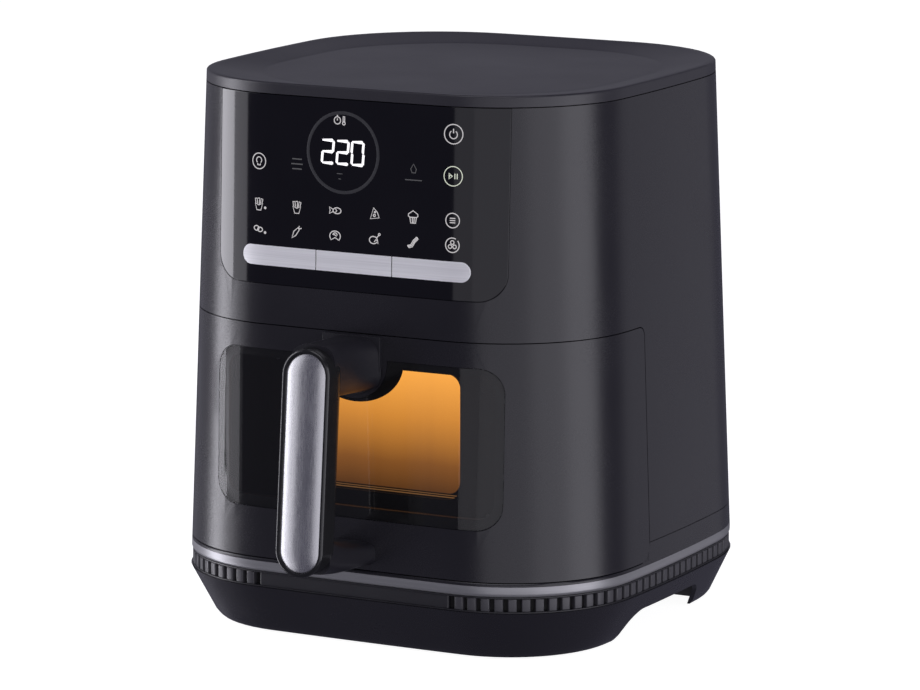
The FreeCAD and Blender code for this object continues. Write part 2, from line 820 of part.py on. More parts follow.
def upper_holes(body, low, high):
    """The holes for the shaft, the heater's ends, the lamp and the sensor."""
    for x, y, radius in (("0", "shaft_side", "7"), ("lamp_side", "lamp_back", "lamp_radius + 0.3"),
                         ("heater_radius", "shaft_side", "5.5"), ("70", "shaft_side + 60", "3.2"),
                         ("heater_radius * cos(-20)", "shaft_side + heater_radius * sin(-20)", "5.5")):
        drum(body, x, y, radius, low, high, cut=True)


def make_chamber_liner():
    """A sheet-metal box, open to the front, that the basket slides into."""
    body = new_body("chamber_liner")
    outer = new_sketch(body, "XY_Plane", "liner_low")
    rounded(outer, "-liner_half", "liner_half", "-180", "liner_rear", "liner_corner")
    pad(body, outer, "liner_high - liner_low")
    inner = new_sketch(body, "XY_Plane", "liner_low + 1")
    rounded(inner, "-liner_half + 1", "liner_half - 1", "-190", "liner_rear - 1", "liner_corner - 1")
    pocket(body, inner, "liner_high - liner_low - 2")
    front = new_sketch(body, "XY_Plane", "0")
    rectangle(front, "-200", "200", "-300", "-95")
    pocket(body, front, "300")
    outlet = new_sketch(body, "XZ_Plane", "-liner_rear - 5")
    rectangle(outlet, "-38", "38", "196", "216")
    pocket(body, outlet, "20")
    upper_holes(body, "liner_high - 4", "liner_high + 4")
    return keep(body)


def make_drawer_rails():
    return keep(group("drawer_rails", [
        box(f"rail_{index}", left, right, "-93", "liner_rear - 6", "liner_low + 1", "basket_low - 0.3")
        for index, (left, right) in enumerate((("-80", "-66"), ("66", "80")))]))


def make_flat_plate(label, half, rear, low, thick):
    body = new_body(label)
    sketch = new_sketch(body, "XY_Plane", low)
    rounded(sketch, f"-({half})", half, "-90", rear, "liner_corner")
    pad(body, sketch, thick)
    upper_holes(body, f"{low} - 2", f"{low} + {thick} + 2")
    return keep(body)


def make_heater_element():
    """A tubular ring round the chamber fan, its two ends turned up through the ceiling."""
    ring = torus("heater_ring", "heater_radius", "heater_tube", "heater_level", 340)
    pieces = [ring]
    for index, angle in enumerate((0, -20)):
        x = f"heater_radius * cos({angle})"
        y = f"shaft_side + heater_radius * sin({angle})"
        elbow = doc.addObject("Part::Sphere", f"heater_elbow_{index}")
        bind(elbow, "Radius", "heater_tube")
        place(elbow, x, y, "heater_level")
        pieces += [elbow, cylinder(f"heater_end_{index}", "heater_tube", "233 - heater_level", x, y,
                                   "heater_level")]
    return keep(gather("heater_element", pieces))


def make_heater_clips():
    clips = []
    for index, angle in enumerate((70, 160, 250)):
        x = 90 * math.cos(math.radians(angle))
        y = value("shaft_side") + 90 * math.sin(math.radians(angle))
        clips.append(box(f"heater_clip_{index}", f"{x - 4:.3f}", f"{x + 4:.3f}",
                         f"{y - 4:.3f}", f"{y + 4:.3f}",
                         "heater_level + heater_tube + 0.05", "liner_high - 1"))
    return keep(group("heater_clips", clips))


def make_heater_guard():
    """A flat guard of wire rings and two cross wires under the fan and the heater."""
    pieces = [torus(f"guard_ring_{index}", str(ring), "1.3", "guard_level")
              for index, ring in enumerate((98, 82, 66, 48, 30))]
    for index, (heading, rise) in enumerate(((30, -1.2), (120, 1.2))):
        across_x, across_y = math.cos(math.radians(heading)), math.sin(math.radians(heading))
        wire = cylinder(f"guard_wire_{index}", "1.25", "199", f"{-99.5 * across_x}",
                        f"shaft_side + {-99.5 * across_y}", f"guard_level + {rise}")
        wire.Placement.Rotation = FreeCAD.Rotation(FreeCAD.Vector(0, 0, 1),
                                                   FreeCAD.Vector(across_x, across_y, 0))
        pieces.append(wire)
    return keep(gather("heater_guard", pieces))


def make_guard_posts():
    """Four rods that hold the guard's outer ring under the chamber's ceiling."""
    posts = [cylinder(f"guard_post_{index}", "0.9", "liner_high - 2.3 - guard_level", x,
                      f"shaft_side + {y}", "guard_level + 1.3")
             for index, (x, y) in enumerate(((69.3, 69.3), (-69.3, 69.3), (-69.3, -69.3), (69.3, -69.3)))]
    return keep(group("guard_posts", posts))


def make_temperature_sensor():
    body = new_body("temperature_sensor")
    drum(body, "70", "shaft_side + 60", "2.6", "208", "shield_level + 1")
    drum(body, "70", "shaft_side + 60", "6", "shield_level + 1", "shield_level + 3")
    return keep(body)


def make_thermal_cutoff():
    body = new_body("thermal_cutoff")
    drum(body, "-80", "60", "9", "shield_level + 1", "shield_level + 9")
    block(body, "-94", "-66", "56", "64", "shield_level + 1", "shield_level + 2")
    return keep(body)


def make_lamp():
    lens = new_body("lamp_lens")
    drum(lens, "lamp_side", "lamp_back", "lamp_radius", "liner_high - 3", "liner_high + 3")
    drum(lens, "lamp_side", "lamp_back", "lamp_radius - 1.5", "liner_high - 1.5", "liner_high + 3", cut=True)
    keep(lens)
    bulb = doc.addObject("Part::Ellipsoid", "lamp_bulb")
    bind(bulb, "Radius1", "9")
    bind(bulb, "Radius2", "6")
    bind(bulb, "Radius3", "6")
    place(bulb, "lamp_side", "lamp_back", "liner_high + 8")
    keep(bulb)
    socket = new_body("lamp_socket")
    drum(socket, "lamp_side", "lamp_back", "lamp_radius + 3", "shield_level + 1", "256")
    drum(socket, "lamp_side", "lamp_back", "lamp_radius - 1", "shield_level + 1", "242", cut=True)
    return keep(socket)


# ---------------------------------------------------------------- motor and fans

MOTOR_SCREW_ANGLES = [math.radians(45 + 90 * index) for index in range(4)]
MOTOR_SCREWS = [(24 * math.cos(angle), 5 + 24 * math.sin(angle)) for angle in MOTOR_SCREW_ANGLES]


def make_motor():
    can = new_body("fan_motor")
    turn(can, [("shaft_radius + 0.05", "motor_level"), ("32", "motor_level"),
               ("34", "motor_level + 3"), ("34", "motor_level + 29"),
               ("32", "motor_level + 32"), ("shaft_radius + 0.05", "motor_level + 32")])
    for low, high in (("motor_level", "motor_level + 5"), ("motor_level + 27", "motor_level + 32")):
        drum(can, "0", "0", "9", low, high, cut=True)
    for x, y in MOTOR_SCREWS:
        drum(can, str(x), str(y - 5), "screw_radius", "motor_level", "motor_level + 7", cut=True)
    place(can, "0", "shaft_side")
    keep(can)
    bearings = []
    for index, low in enumerate(("motor_level", "motor_level + 27")):
        bearing = new_body(f"bearing_{index}")
        drum(bearing, "0", "0", "9", low, f"{low} + 5")
        drum(bearing, "0", "0", "shaft_radius + 0.04", low, f"{low} + 5", cut=True)
        place(bearing, "0", "shaft_side")
        bearings.append(bearing)
    keep(group("motor_bearings", bearings))
    shaft = cylinder("motor_shaft", "shaft_radius", "motor_level + 36 - 196", "0", "shaft_side", "196")
    keep(shaft)


def make_motor_bracket():
    """A sheet bridge over the cooling fan that the motor stands on."""
    body = new_body("motor_bracket")
    sketch = new_sketch(body, "XZ_Plane", "-33")
    polygon(sketch, [("-64", "shield_level + 1"), ("-52", "shield_level + 1"), ("-52", "motor_level - 2"),
                     ("52", "motor_level - 2"), ("52", "shield_level + 1"), ("62", "shield_level + 1"),
                     ("62", "shield_level + 2.5"), ("53.5", "shield_level + 2.5"),
                     ("53.5", "motor_level"), ("-53.5", "motor_level"),
                     ("-53.5", "shield_level + 2.5"), ("-64", "shield_level + 2.5")])
    pad(body, sketch, "56")
    drum(body, "0", "shaft_side", "6", "motor_level - 4", "motor_level + 2", cut=True)
    for x, y in MOTOR_SCREWS:
        drum(body, x, y, "screw_radius + 0.1", "motor_level - 4", "motor_level + 2", cut=True)
    return keep(body)


def make_fans():
    """The chamber fan below the ceiling and the cooling fan above the heat shield."""
    chamber = new_body("chamber_fan")
    turn(chamber, [("shaft_radius", "203"), ("9", "203"), ("9", "214"), ("58", "214"), ("60", "215"),
                   ("shaft_radius", "215")])
    blade = block(chamber, "16", "58", "-0.6", "0.6", "202", "214")
    repeat(chamber, [blade], 12)
    place(chamber, "0", "shaft_side")
    keep(chamber)
    cooling = new_body("cooling_fan")
    turn(cooling, [("shaft_radius", "236"), ("10", "236"), ("10", "248.5"), ("46", "248.5"), ("46", "250"),
                   ("shaft_radius", "250")])
    blade = block(cooling, "14", "45", "-0.8", "0.8", "237", "248.5")
    repeat(cooling, [blade], 10)
    place(cooling, "0", "shaft_side")
    keep(cooling)
    nut = new_body("fan_nut")
    turn(nut, [("shaft_radius", "198"), ("7", "198"), ("8", "199"), ("8", "203"), ("shaft_radius", "203")])
    place(nut, "0", "shaft_side")
    keep(nut)


# ---------------------------------------------------------------- door switch

def make_door_switch():
    body = new_body("door_switch")
    block(body, "switch_side - 2.7", "switch_side + 4", "-bulkhead + 2.6", "-80",
          "switch_level - 8", "switch_level + 8")
    lying_drum(body, "switch_side", "switch_level", "2.05", "-bulkhead + 2", "-83", cut=True)
    keep(body)
    plunger = new_body("switch_plunger")
    lying_drum(plunger, "switch_side", "switch_level", "2", "-inner_panel + 3.3", "-91")
    keep(plunger)
    spring = new_body("switch_spring")
    lying_drum(spring, "switch_side", "switch_level", "1.8", "-90.9", "-83.1")
    lying_drum(spring, "switch_side", "switch_level", "1.2", "-92", "-83", cut=True)
    keep(spring)


# ---------------------------------------------------------------- drawer

def glass_outline(sketch, grow):
    rounded(sketch, f"-(glass_half + {grow})", f"glass_half + {grow}",
            f"glass_low - {grow}", f"glass_high + {grow}", "glass_corner")


def notch_outline(sketch, grow):
    circle(sketch, "0", "notch_level", f"notch_radius + {grow}")


def make_drawer(screws):
    """The drawer front, a tray on edge with the glass's opening, its glass and the frame behind them."""
    shell = new_body("drawer_shell")
    loft(shell, section(shell, "drawer_bottom"), section(shell, "drawer_top"))
    loft(shell, section(shell, "drawer_bottom", "drawer_wall"), section(shell, "drawer_top", "drawer_wall"),
         cut=True)
    side = new_sketch(shell, "YZ_Plane", "-200")
    rounded(side, "-300", "-wrap_seam", "drawer_bottom - 30", "drawer_top", "5.5")
    rectangle(side, "-400", "300", "-100", "400")
    pocket(shell, side, "400")
    # the flanges stop in front of the bulkhead, and only the thin sides run past it
    flanges = []
    for name, level in (("low", "drawer_bottom"), ("high", "drawer_top - 3")):
        flange = new_body(f"drawer_flange_{name}")
        pad(flange, section(flange, level, "drawer_wall - 0.5"), "3")
        behind = new_sketch(flange, "XY_Plane", level)
        rectangle(behind, "-200", "200", "-inner_panel + 3", "200")
        pocket(flange, behind, "3")
        flanges.append(flange)
    tray = gather("drawer_tray", [shell] + flanges)
    opening = front_prism("glass_opening", lambda sketch: glass_outline(sketch, "0.25"))
    tab = front_prism("notch_tab", lambda sketch: notch_outline(sketch, "-0.25"))
    aperture = combine("Cut", "glass_aperture", opening, tab)
    open_tray = combine("Cut", "open_tray", tray, aperture)
    keep(combine("Cut", "drawer_front", open_tray, screws))

    layer = wall_layer("glass_layer", "glass_low - 10", "glass_high + 10", "0", "drawer_wall")
    whole = combine("Common", "glass_blank", layer,
                    front_prism("glass_prism", lambda sketch: glass_outline(sketch, "0")))
    keep(combine("Cut", "window_glass", whole,
                 front_prism("notch_prism", lambda sketch: notch_outline(sketch, "0"))))

    frame_layer = wall_layer("frame_layer", "glass_low - 12", "glass_high + 10", "drawer_wall + 0.05", "6")
    frame_prism = new_body("frame_prism")
    ring = new_sketch(frame_prism, "XZ_Plane", "100")
    rounded(ring, "-glass_half - 6", "glass_half + 6", "glass_low - 6", "glass_high + 6", "18")
    rounded(ring, "-glass_half + 6", "glass_half - 6", "glass_low + 6", "glass_high - 5", "10")
    pad(frame_prism, ring, "80")
    keep(combine("Common", "window_frame", frame_layer, frame_prism))


def make_inner_panel():
    """The flat back of the drawer front, with a port in front of the basket's window."""
    body = new_body("drawer_inner_panel")
    sketch = new_sketch(body, "XZ_Plane", "inner_panel - 3")
    rounded(sketch, "-119", "119", "drawer_bottom + 3.1", "drawer_top - 3.1", "6")
    pad(body, sketch, "3")
    port = new_sketch(body, "XZ_Plane", "inner_panel - 5")
    rounded(port, "-port_half - 3", "port_half + 3", "port_low - 3", "port_high + 3", "11")
    pocket(body, port, "6")
    for x, z in BASKET_SCREWS:
        lying_drum(body, x, z, "screw_radius", "-inner_panel", "-inner_panel + 3", cut=True)
    return keep(body)


BASKET_SCREWS = [(sx * 70, z) for sx in (-1, 1) for z in (80, 162)]


def make_drawer_seal():
    """The soft ring that closes against the bulkhead round the mouth."""
    body = new_body("drawer_seal")
    sketch = new_sketch(body, "XZ_Plane", "bulkhead + 0.3")
    rounded(sketch, "-114.6", "114.6", "57.5", "184.4", "16")
    rounded(sketch, "-111.4", "111.4", "60.7", "181.2", "13")
    pad(body, sketch, "inner_panel - bulkhead - 3.3")
    return keep(body)


def make_basket():
    """The tub that holds the food, with a window in its front wall."""
    body = new_body("basket")
    outer = new_sketch(body, "XY_Plane", "basket_low")
    front = "-inner_panel + 3"
    rounded(outer, "-basket_half", "basket_half", front, "basket_rear", "basket_corner")
    pad(body, outer, "basket_high - basket_low")
    rim = new_sketch(body, "XY_Plane", "basket_high")
    rounded(rim, "-basket_half - 3", "basket_half + 3", front, "basket_rear + 3", "basket_corner + 3")
    pad(body, rim, "1.2")
    hollow = new_sketch(body, "XY_Plane", "basket_low + sheet")
    rounded(hollow, "-basket_half + sheet", "basket_half - sheet", f"{front} + sheet", "basket_rear - sheet",
            "basket_corner - sheet")
    pocket(body, hollow, "200")
    port = new_sketch(body, "XZ_Plane", "inner_panel - 6")
    rounded(port, "-port_half", "port_half", "port_low", "port_high", "8")
    pocket(body, port, "8")
    for x, z in BASKET_SCREWS:
        lying_drum(body, x, z, "screw_radius + 0.2", "-inner_panel + 2", "-inner_panel + 6", cut=True)
    return keep(body)


def make_inner_glass():
    body = new_body("inner_glass")
    sketch = new_sketch(body, "XZ_Plane", "inner_panel - 7.2")
    rounded(sketch, "-port_half - 6", "port_half + 6", "port_low - 5.5", "port_high + 6", "10")
    pad(body, sketch, "3")
    return keep(body)


def make_basket_screws():
    screws = []
    for index, (x, z) in enumerate(BASKET_SCREWS):
        screw = new_body(f"basket_screw_{index}")
        lying_drum(screw, x, z, "3.5", "-inner_panel + 4.2", "-inner_panel + 6.2")
        lying_drum(screw, x, z, "screw_radius", "-inner_panel", "-inner_panel + 4.2")
        screws.append(screw)
    return keep(group("basket_screws", screws))


def make_crisper_plate():
    """The perforated plate that the food lies on, standing on four legs."""
    plate = new_body("crisper_blank")
    front = "-inner_panel + 3 + sheet + 4.5"
    sketch = new_sketch(plate, "XY_Plane", "crisper_level")
    rounded(sketch, "-basket_half + sheet + 3", "basket_half - sheet - 3", front,
            "basket_rear - sheet - 3", "basket_corner - 4")
    pad(plate, sketch, "2")
    for x in (-72, 72):
        for y in (-62, 66):
            drum(plate, x, y, "4", "basket_low + sheet + 0.3", "crisper_level")
    holes = []
    for column in range(-5, 6):
        for rank in range(-5, 6):
            x, y = column * 16.0, rank * 16.0 + 2.0
            near_leg = min(math.dist((x, y), (lx, ly)) for lx in (-72, 72) for ly in (-62, 66)) < 10
            if not near_leg:
                holes.append(Part.makeCylinder(3.6, 6, FreeCAD.Vector(x, y, value("crisper_level") - 2)))
    cutter = doc.addObject("Part::Feature", "crisper_holes")
    cutter.Shape = Part.makeCompound(holes)
    return keep(combine("Cut", "crisper_plate", plate, cutter))


def make_crisper_bumpers():
    bumpers = []
    reach = value("basket_half - sheet - 3")
    middle = 0.0
    for index, (x, y) in enumerate(((reach, middle - 50), (reach, middle + 50),
                                    (-reach, middle - 50), (-reach, middle + 50))):
        inner, outer = sorted((x, x + math.copysign(2.6, x)))
        bumpers.append(box(f"bumper_{index}", f"{inner}", f"{outer}", f"{y - 8}", f"{y + 8}",
                           "crisper_level - 3", "crisper_level + 4"))
    return keep(group("crisper_bumpers", bumpers))


# ---------------------------------------------------------------- handle

def make_handle(screws):
    """Grip, two arms, the tongue plate under the seam and the lower root, against the drawer's face."""
    body = new_body("handle_blank")
    grip = new_sketch(body, "YZ_Plane", "-grip_width / 2")
    lean = "(reach_bottom - reach_top) / (grip_top - grip_bottom)"
    polygon(grip, [
        ("-130", "grip_top"), ("-reach_top + 5", "grip_top"), ("-reach_top", "grip_top - 5"),
        ("-reach_bottom", "grip_bottom + 5"), ("-reach_bottom + 5", "grip_bottom"),
        ("-reach_bottom + grip_depth", "grip_bottom - 1"), ("-130", "root_low"), ("-130", "root_high"),
        ("-165", "root_high + 1"), ("-178", "root_high + 5"),
        (f"-reach_bottom + grip_depth + {lean} * 26", "grip_bottom + 26"),
        (f"-reach_top + grip_depth - {lean} * 44", "grip_top - 44"),
        ("-170", "grip_top - 36"), ("-158", "grip_top - 32.5"), ("-130", "grip_top - 31.5")])
    pad(body, grip, "grip_width")
    tongue = new_sketch(body, "XZ_Plane", "130")
    rounded(tongue, "-tongue_half", "tongue_half", "tongue_level - tongue_half", "grip_top", "2")
    pad(body, tongue, "13")
    root = new_sketch(body, "XZ_Plane", "130")
    rounded(root, "-root_half", "root_half", "root_low", "root_high", "5")
    pad(body, root, "14")
    face = new_body("handle_trim")
    loft(face, section(face, "40"), section(face, "200"))
    trimmed = combine("Cut", "handle_trimmed", body, face)
    return keep(combine("Cut", "handle", trimmed, screws))


def make_handle_plate():
    """The brushed plate on the grip's face, leaning with it."""
    slab = new_body("plate_slab")
    sketch = new_sketch(slab, "YZ_Plane", "-40")
    polygon(sketch, [("-reach_top", "grip_top - 5"), ("-reach_top - 0.9", "grip_top - 5"),
                     ("-reach_bottom - 0.9", "grip_bottom + 5"), ("-reach_bottom", "grip_bottom + 5")])
    pad(slab, sketch, "80")
    prism = new_body("plate_prism")
    outline = new_sketch(prism, "XZ_Plane", "180")
    rounded(outline, "-plate_width / 2", "plate_width / 2", "grip_bottom + 5.2", "grip_top - 5.2",
            "plate_width / 2 - 0.1")
    pad(prism, outline, "40")
    return keep(combine("Common", "handle_plate", slab, prism))


HANDLE_SCREWS = (182.0, 58.5)


def make_handle_screws():
    """Screws from inside the drawer front into the handle's two roots."""
    screws = []
    for index, level in enumerate(HANDLE_SCREWS):
        face = value(half_depth(level)) - value("drawer_wall")
        screw = new_body(f"handle_screw_{index}")
        lying_drum(screw, "0", level, "2.8", f"{-face + 0.1:.3f}", f"{-face + 2.2:.3f}")
        lying_drum(screw, "0", level, "screw_radius + 0.5", f"{-face - 14:.3f}", f"{-face + 0.1:.3f}")
        screws.append(screw)
    return keep(group("handle_screws", screws))


# ---------------------------------------------------------------- build

make_base_housing()
make_bottom_plate()
make_feet()
upright_screws("housing_screws", SCREW_PLACES, "foot_height - 1.6", "foot_height", "20")
make_trim_ring()
make_vent_band()
make_upper_housing()
make_control_panel()
make_mode_bar()
make_dial_ring()
make_lid_cover()
make_front_frame()
make_rear_grille()
make_exhaust_duct()
make_cord_inlet()
make_light_guide()
make_display_module()
make_touch_board()
make_ribbon_cable()
make_power_board()
make_board_relays()
make_board_capacitor()
make_board_standoffs()
make_chamber_liner()
make_drawer_rails()
make_flat_plate("insulation_pad", "108", "106", "liner_high + 0.2", "4.6")
make_flat_plate("heat_shield", "118", "116", "shield_level", "1")
make_heater_element()
make_heater_clips()
make_heater_guard()
make_guard_posts()
make_temperature_sensor()
make_thermal_cutoff()
make_lamp()
make_motor()
make_motor_bracket()
upright_screws("motor_screws", MOTOR_SCREWS, "motor_level - 3.6", "motor_level - 2", "motor_level + 6")
make_fans()
make_door_switch()
handle_screws = make_handle_screws()
make_drawer(handle_screws)
make_inner_panel()
make_drawer_seal()
make_basket()
make_inner_glass()
make_basket_screws()
make_crisper_plate()
make_crisper_bumpers()
make_handle(handle_screws)
make_handle_plate()
doc.recompute()

broken = [item.Name for item in doc.Objects if {"Invalid", "Error"} & set(item.State)]
if broken:
    raise RuntimeError(f"these objects did not build: {broken}")
for node in nodes:
    if node.Shape.isNull() or not node.Shape.isValid():
        raise RuntimeError(f"{node.Label} has no valid shape")
    node.Shape.exportStep(f"parts/{node.Label}.step")
    print(node.Label, len(node.Shape.Solids), round(node.Shape.Volume, 1))
print(len(nodes), "nodes")
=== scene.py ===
import json
import math
from functools import lru_cache

import bmesh
import bpy
from mathutils import Matrix, Vector


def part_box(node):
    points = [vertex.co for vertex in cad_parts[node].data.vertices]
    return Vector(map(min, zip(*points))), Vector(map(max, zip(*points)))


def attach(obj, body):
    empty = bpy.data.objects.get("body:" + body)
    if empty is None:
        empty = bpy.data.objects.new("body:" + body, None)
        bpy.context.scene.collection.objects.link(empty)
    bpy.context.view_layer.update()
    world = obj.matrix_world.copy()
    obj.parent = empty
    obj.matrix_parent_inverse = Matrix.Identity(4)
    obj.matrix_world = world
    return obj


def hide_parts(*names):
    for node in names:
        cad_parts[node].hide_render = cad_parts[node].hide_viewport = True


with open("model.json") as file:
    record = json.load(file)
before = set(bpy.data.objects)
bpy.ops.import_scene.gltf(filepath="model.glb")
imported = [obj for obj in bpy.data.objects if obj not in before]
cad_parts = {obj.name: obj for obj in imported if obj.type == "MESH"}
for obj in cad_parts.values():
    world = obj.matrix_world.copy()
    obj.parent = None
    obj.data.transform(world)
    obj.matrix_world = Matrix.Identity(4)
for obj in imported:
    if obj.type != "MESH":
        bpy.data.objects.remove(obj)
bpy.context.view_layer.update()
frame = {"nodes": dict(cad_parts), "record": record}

mm = 0.001

# ---------------------------------------------------------------- base
# The base is one ribless polypropylene moulding: a skirt that draws in towards the table, a groove
# for the vents, a rebate for the trim ring and, behind the drawer, a collar under the side seam.
# Its plan, like the whole body's, is four slightly crowned sides joined by four round corners.

foot_line = 47 * mm
body_top = 330 * mm
top_half = Vector((135, 135.5)) * mm
low_half = Vector((145, 141.5)) * mm
front_corner, rear_corner = 80 * mm, 90 * mm
side_crown, face_crown = 1150 * mm, 3500 * mm
steps_in_run = (16, 14, 18, 14, 16, 14, 22, 14)


def corner_centre(first, first_radius, second, second_radius, toward):
    """Where a corner arc is centred: in reach of both sides' arcs, on the side that toward points to."""
    gap = second - first
    along = (first_radius ** 2 - second_radius ** 2 + gap.length_squared) / (2 * gap.length)
    off = math.sqrt(first_radius ** 2 - along ** 2)
    line = gap.normalized()
    spots = [first + line * along + line.orthogonal() * side * off for side in (1, -1)]
    return max(spots, key=lambda spot: spot.dot(toward))


@lru_cache(None)
def plan(half_x, half_y, front, rear, inset):
    """The eight arcs of a plan, (centre, radius, start, end), from the right side anticlockwise."""
    sides = [Vector((half_x - side_crown, 0)), Vector((0, half_y - face_crown)),
             Vector((side_crown - half_x, 0)), Vector((0, face_crown - half_y))]
    side_radii = [side_crown - inset, face_crown - inset] * 2
    corner_radii = [rear - inset, rear - inset, front - inset, front - inset]
    towards = [Vector(way) for way in ((1, 1), (-1, 1), (-1, -1), (1, -1))]
    centres = [corner_centre(sides[i], side_radii[i] - corner_radii[i],
                             sides[(i + 1) % 4], side_radii[(i + 1) % 4] - corner_radii[i], towards[i])
               for i in range(4)]

    def heading(start, end):
        return math.atan2(end.y - start.y, end.x - start.x)

    arcs = []
    for i in range(4):
        before, here, after = centres[i - 1], centres[i], sides[(i + 1) % 4]
        for centre, radius, start, end in (
                (sides[i], side_radii[i], heading(sides[i], before), heading(sides[i], here)),
                (here, corner_radii[i], heading(sides[i], here), heading(after, here))):
            arcs.append((centre, radius, start, end + (2 * math.pi if end < start else 0)))
    return arcs


def body_plan(level, inset=0.0):
    """The body's plan at a level, which narrows evenly towards the lid."""
    half = top_half + (low_half - top_half) * (body_top - level) / (body_top - foot_line)
    return plan(half.x, half.y, front_corner, rear_corner, inset)


def skirt_plan(inset=0.0):
    """The plan at the foot of the skirt."""
    return plan(129.2 * mm, 127.2 * mm, 65 * mm, 65 * mm, inset)


def between(first, second, share):
    """A plan part of the way from one plan to another."""
    return [(a[0].lerp(b[0], share), *(a[i] + (b[i] - a[i]) * share for i in (1, 2, 3)))
            for a, b in zip(first, second)]


def spot_on(arcs, place):
    """A point of a plan: the whole part of place says which arc, the rest how far along it."""
    centre, radius, start, end = arcs[int(place)]
    angle = start + (end - start) * (place % 1)
    return centre + Vector((math.cos(angle), math.sin(angle))) * radius


def points_in(drawn):
    """The vertices among what an extrusion made."""
    return [item for item in drawn if isinstance(item, bmesh.types.BMVert)]


def edges_in(drawn):
    """The edges among what an extrusion or a cut made."""
    return [item for item in drawn if isinstance(item, bmesh.types.BMEdge)]


def draw_out(places, rings, ends="joined"):
    """Lay a loop of edges on the first ring and draw it out through the rest.
    A ring says where in space each place of the loop lies. The ends are joined, capped or open."""
    shape = bmesh.new()
    layer = shape.verts.layers.float.new("place")
    loop = bmesh.ops.create_circle(shape, segments=len(places), radius=1)["verts"]
    for vert, place in zip(loop, places):
        vert[layer] = place
        vert.co = rings[0](place)
    first = edges = shape.edges[:]
    for ring in rings[1:]:
        drawn = bmesh.ops.extrude_edge_only(shape, edges=edges)["geom"]
        fresh = set(points_in(drawn))
        edges = [edge for edge in edges_in(drawn) if fresh.issuperset(edge.verts)]
        for vert in fresh:
            vert.co = ring(vert[layer])
    if ends == "joined":
        bmesh.ops.bridge_loops(shape, edges=first + edges)
    elif ends == "capped":
        bmesh.ops.contextual_create(shape, geom=first)
        bmesh.ops.contextual_create(shape, geom=edges)
    bmesh.ops.recalc_face_normals(shape, faces=shape.faces)
    return shape


body_places = [run + step / steps for run, steps in enumerate(steps_in_run) for step in range(steps)]


def level_ring(arcs, level):
    return lambda place: (*spot_on(arcs, place), level)


def body_band(outside, inside):
    """A closed wall round the body, from (level, inset) pairs up its outside and up its inside."""
    course = list(outside) + list(inside)[::-1]
    return draw_out(body_places, [level_ring(body_plan(level, inset), level) for level, inset in course])


def levels_up(low, high, steps, inset):
    """Evenly spaced (level, inset) pairs up a plain stretch of wall."""
    return [(low + (high - low) * step / steps, inset) for step in range(steps + 1)]


def make_piece(name, shape):
    """A piece of the finished object from its bmesh, in place, with its object at the origin."""
    mesh = bpy.data.meshes.new(name)
    shape.to_mesh(mesh)
    shape.free()
    piece = bpy.data.objects.new(name, mesh)
    bpy.context.scene.collection.objects.link(piece)
    return piece


def cut_with(piece, cutter, operation="DIFFERENCE"):
    """Cut a piece with another, or keep what both share, and throw the cutter away."""
    cut = piece.modifiers.new("cut", "BOOLEAN")
    cut.operation = operation
    cut.object = cutter
    cut.solver = "EXACT"
    mesh = bpy.data.meshes.new_from_object(piece.evaluated_get(bpy.context.evaluated_depsgraph_get()))
    piece.modifiers.clear()
    piece.data = mesh
    bpy.data.objects.remove(cutter)


def round_off(shape, geom, radius, rounds, affect="EDGES"):
    """Round some edges or corners of a bmesh."""
    return bmesh.ops.bevel(shape, geom=geom, offset=radius, affect=affect, segments=rounds,
                           profile=0.5, material=-1)


def rounded_block(low, high, radius, axis, rounds=10):
    """A block between two corners with its edges along one axis rounded."""
    shape = bmesh.new()
    bmesh.ops.create_cube(shape, size=1)
    low, high = Vector(low), Vector(high)
    placed = Matrix.LocRotScale((low + high) / 2, None, high - low)
    bmesh.ops.transform(shape, verts=shape.verts, matrix=placed)
    along = [edge for edge in shape.edges
             if abs((edge.verts[0].co - edge.verts[1].co).normalized()[axis]) > 0.9]
    round_off(shape, along, radius, rounds)
    return shape


def finish_off(piece, body, stands_for, material, edge=0.0, rounds=2, sharp=32):
    """Soften a piece's edges, shade it, give it its finish and let it ride on its body."""
    piece.data.materials.clear()
    piece.data.materials.append(material)
    piece.data.shade_smooth()
    if edge:
        soft = piece.modifiers.new("soft_edges", "BEVEL")
        soft.width = edge
        soft.segments = rounds
        soft.angle_limit = math.radians(sharp)
        soft.harden_normals = True
        soft.use_clamp_overlap = True
    piece.data.set_sharp_from_angle(angle=math.radians(sharp))
    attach(piece, body)
    if stands_for:
        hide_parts(*stands_for)


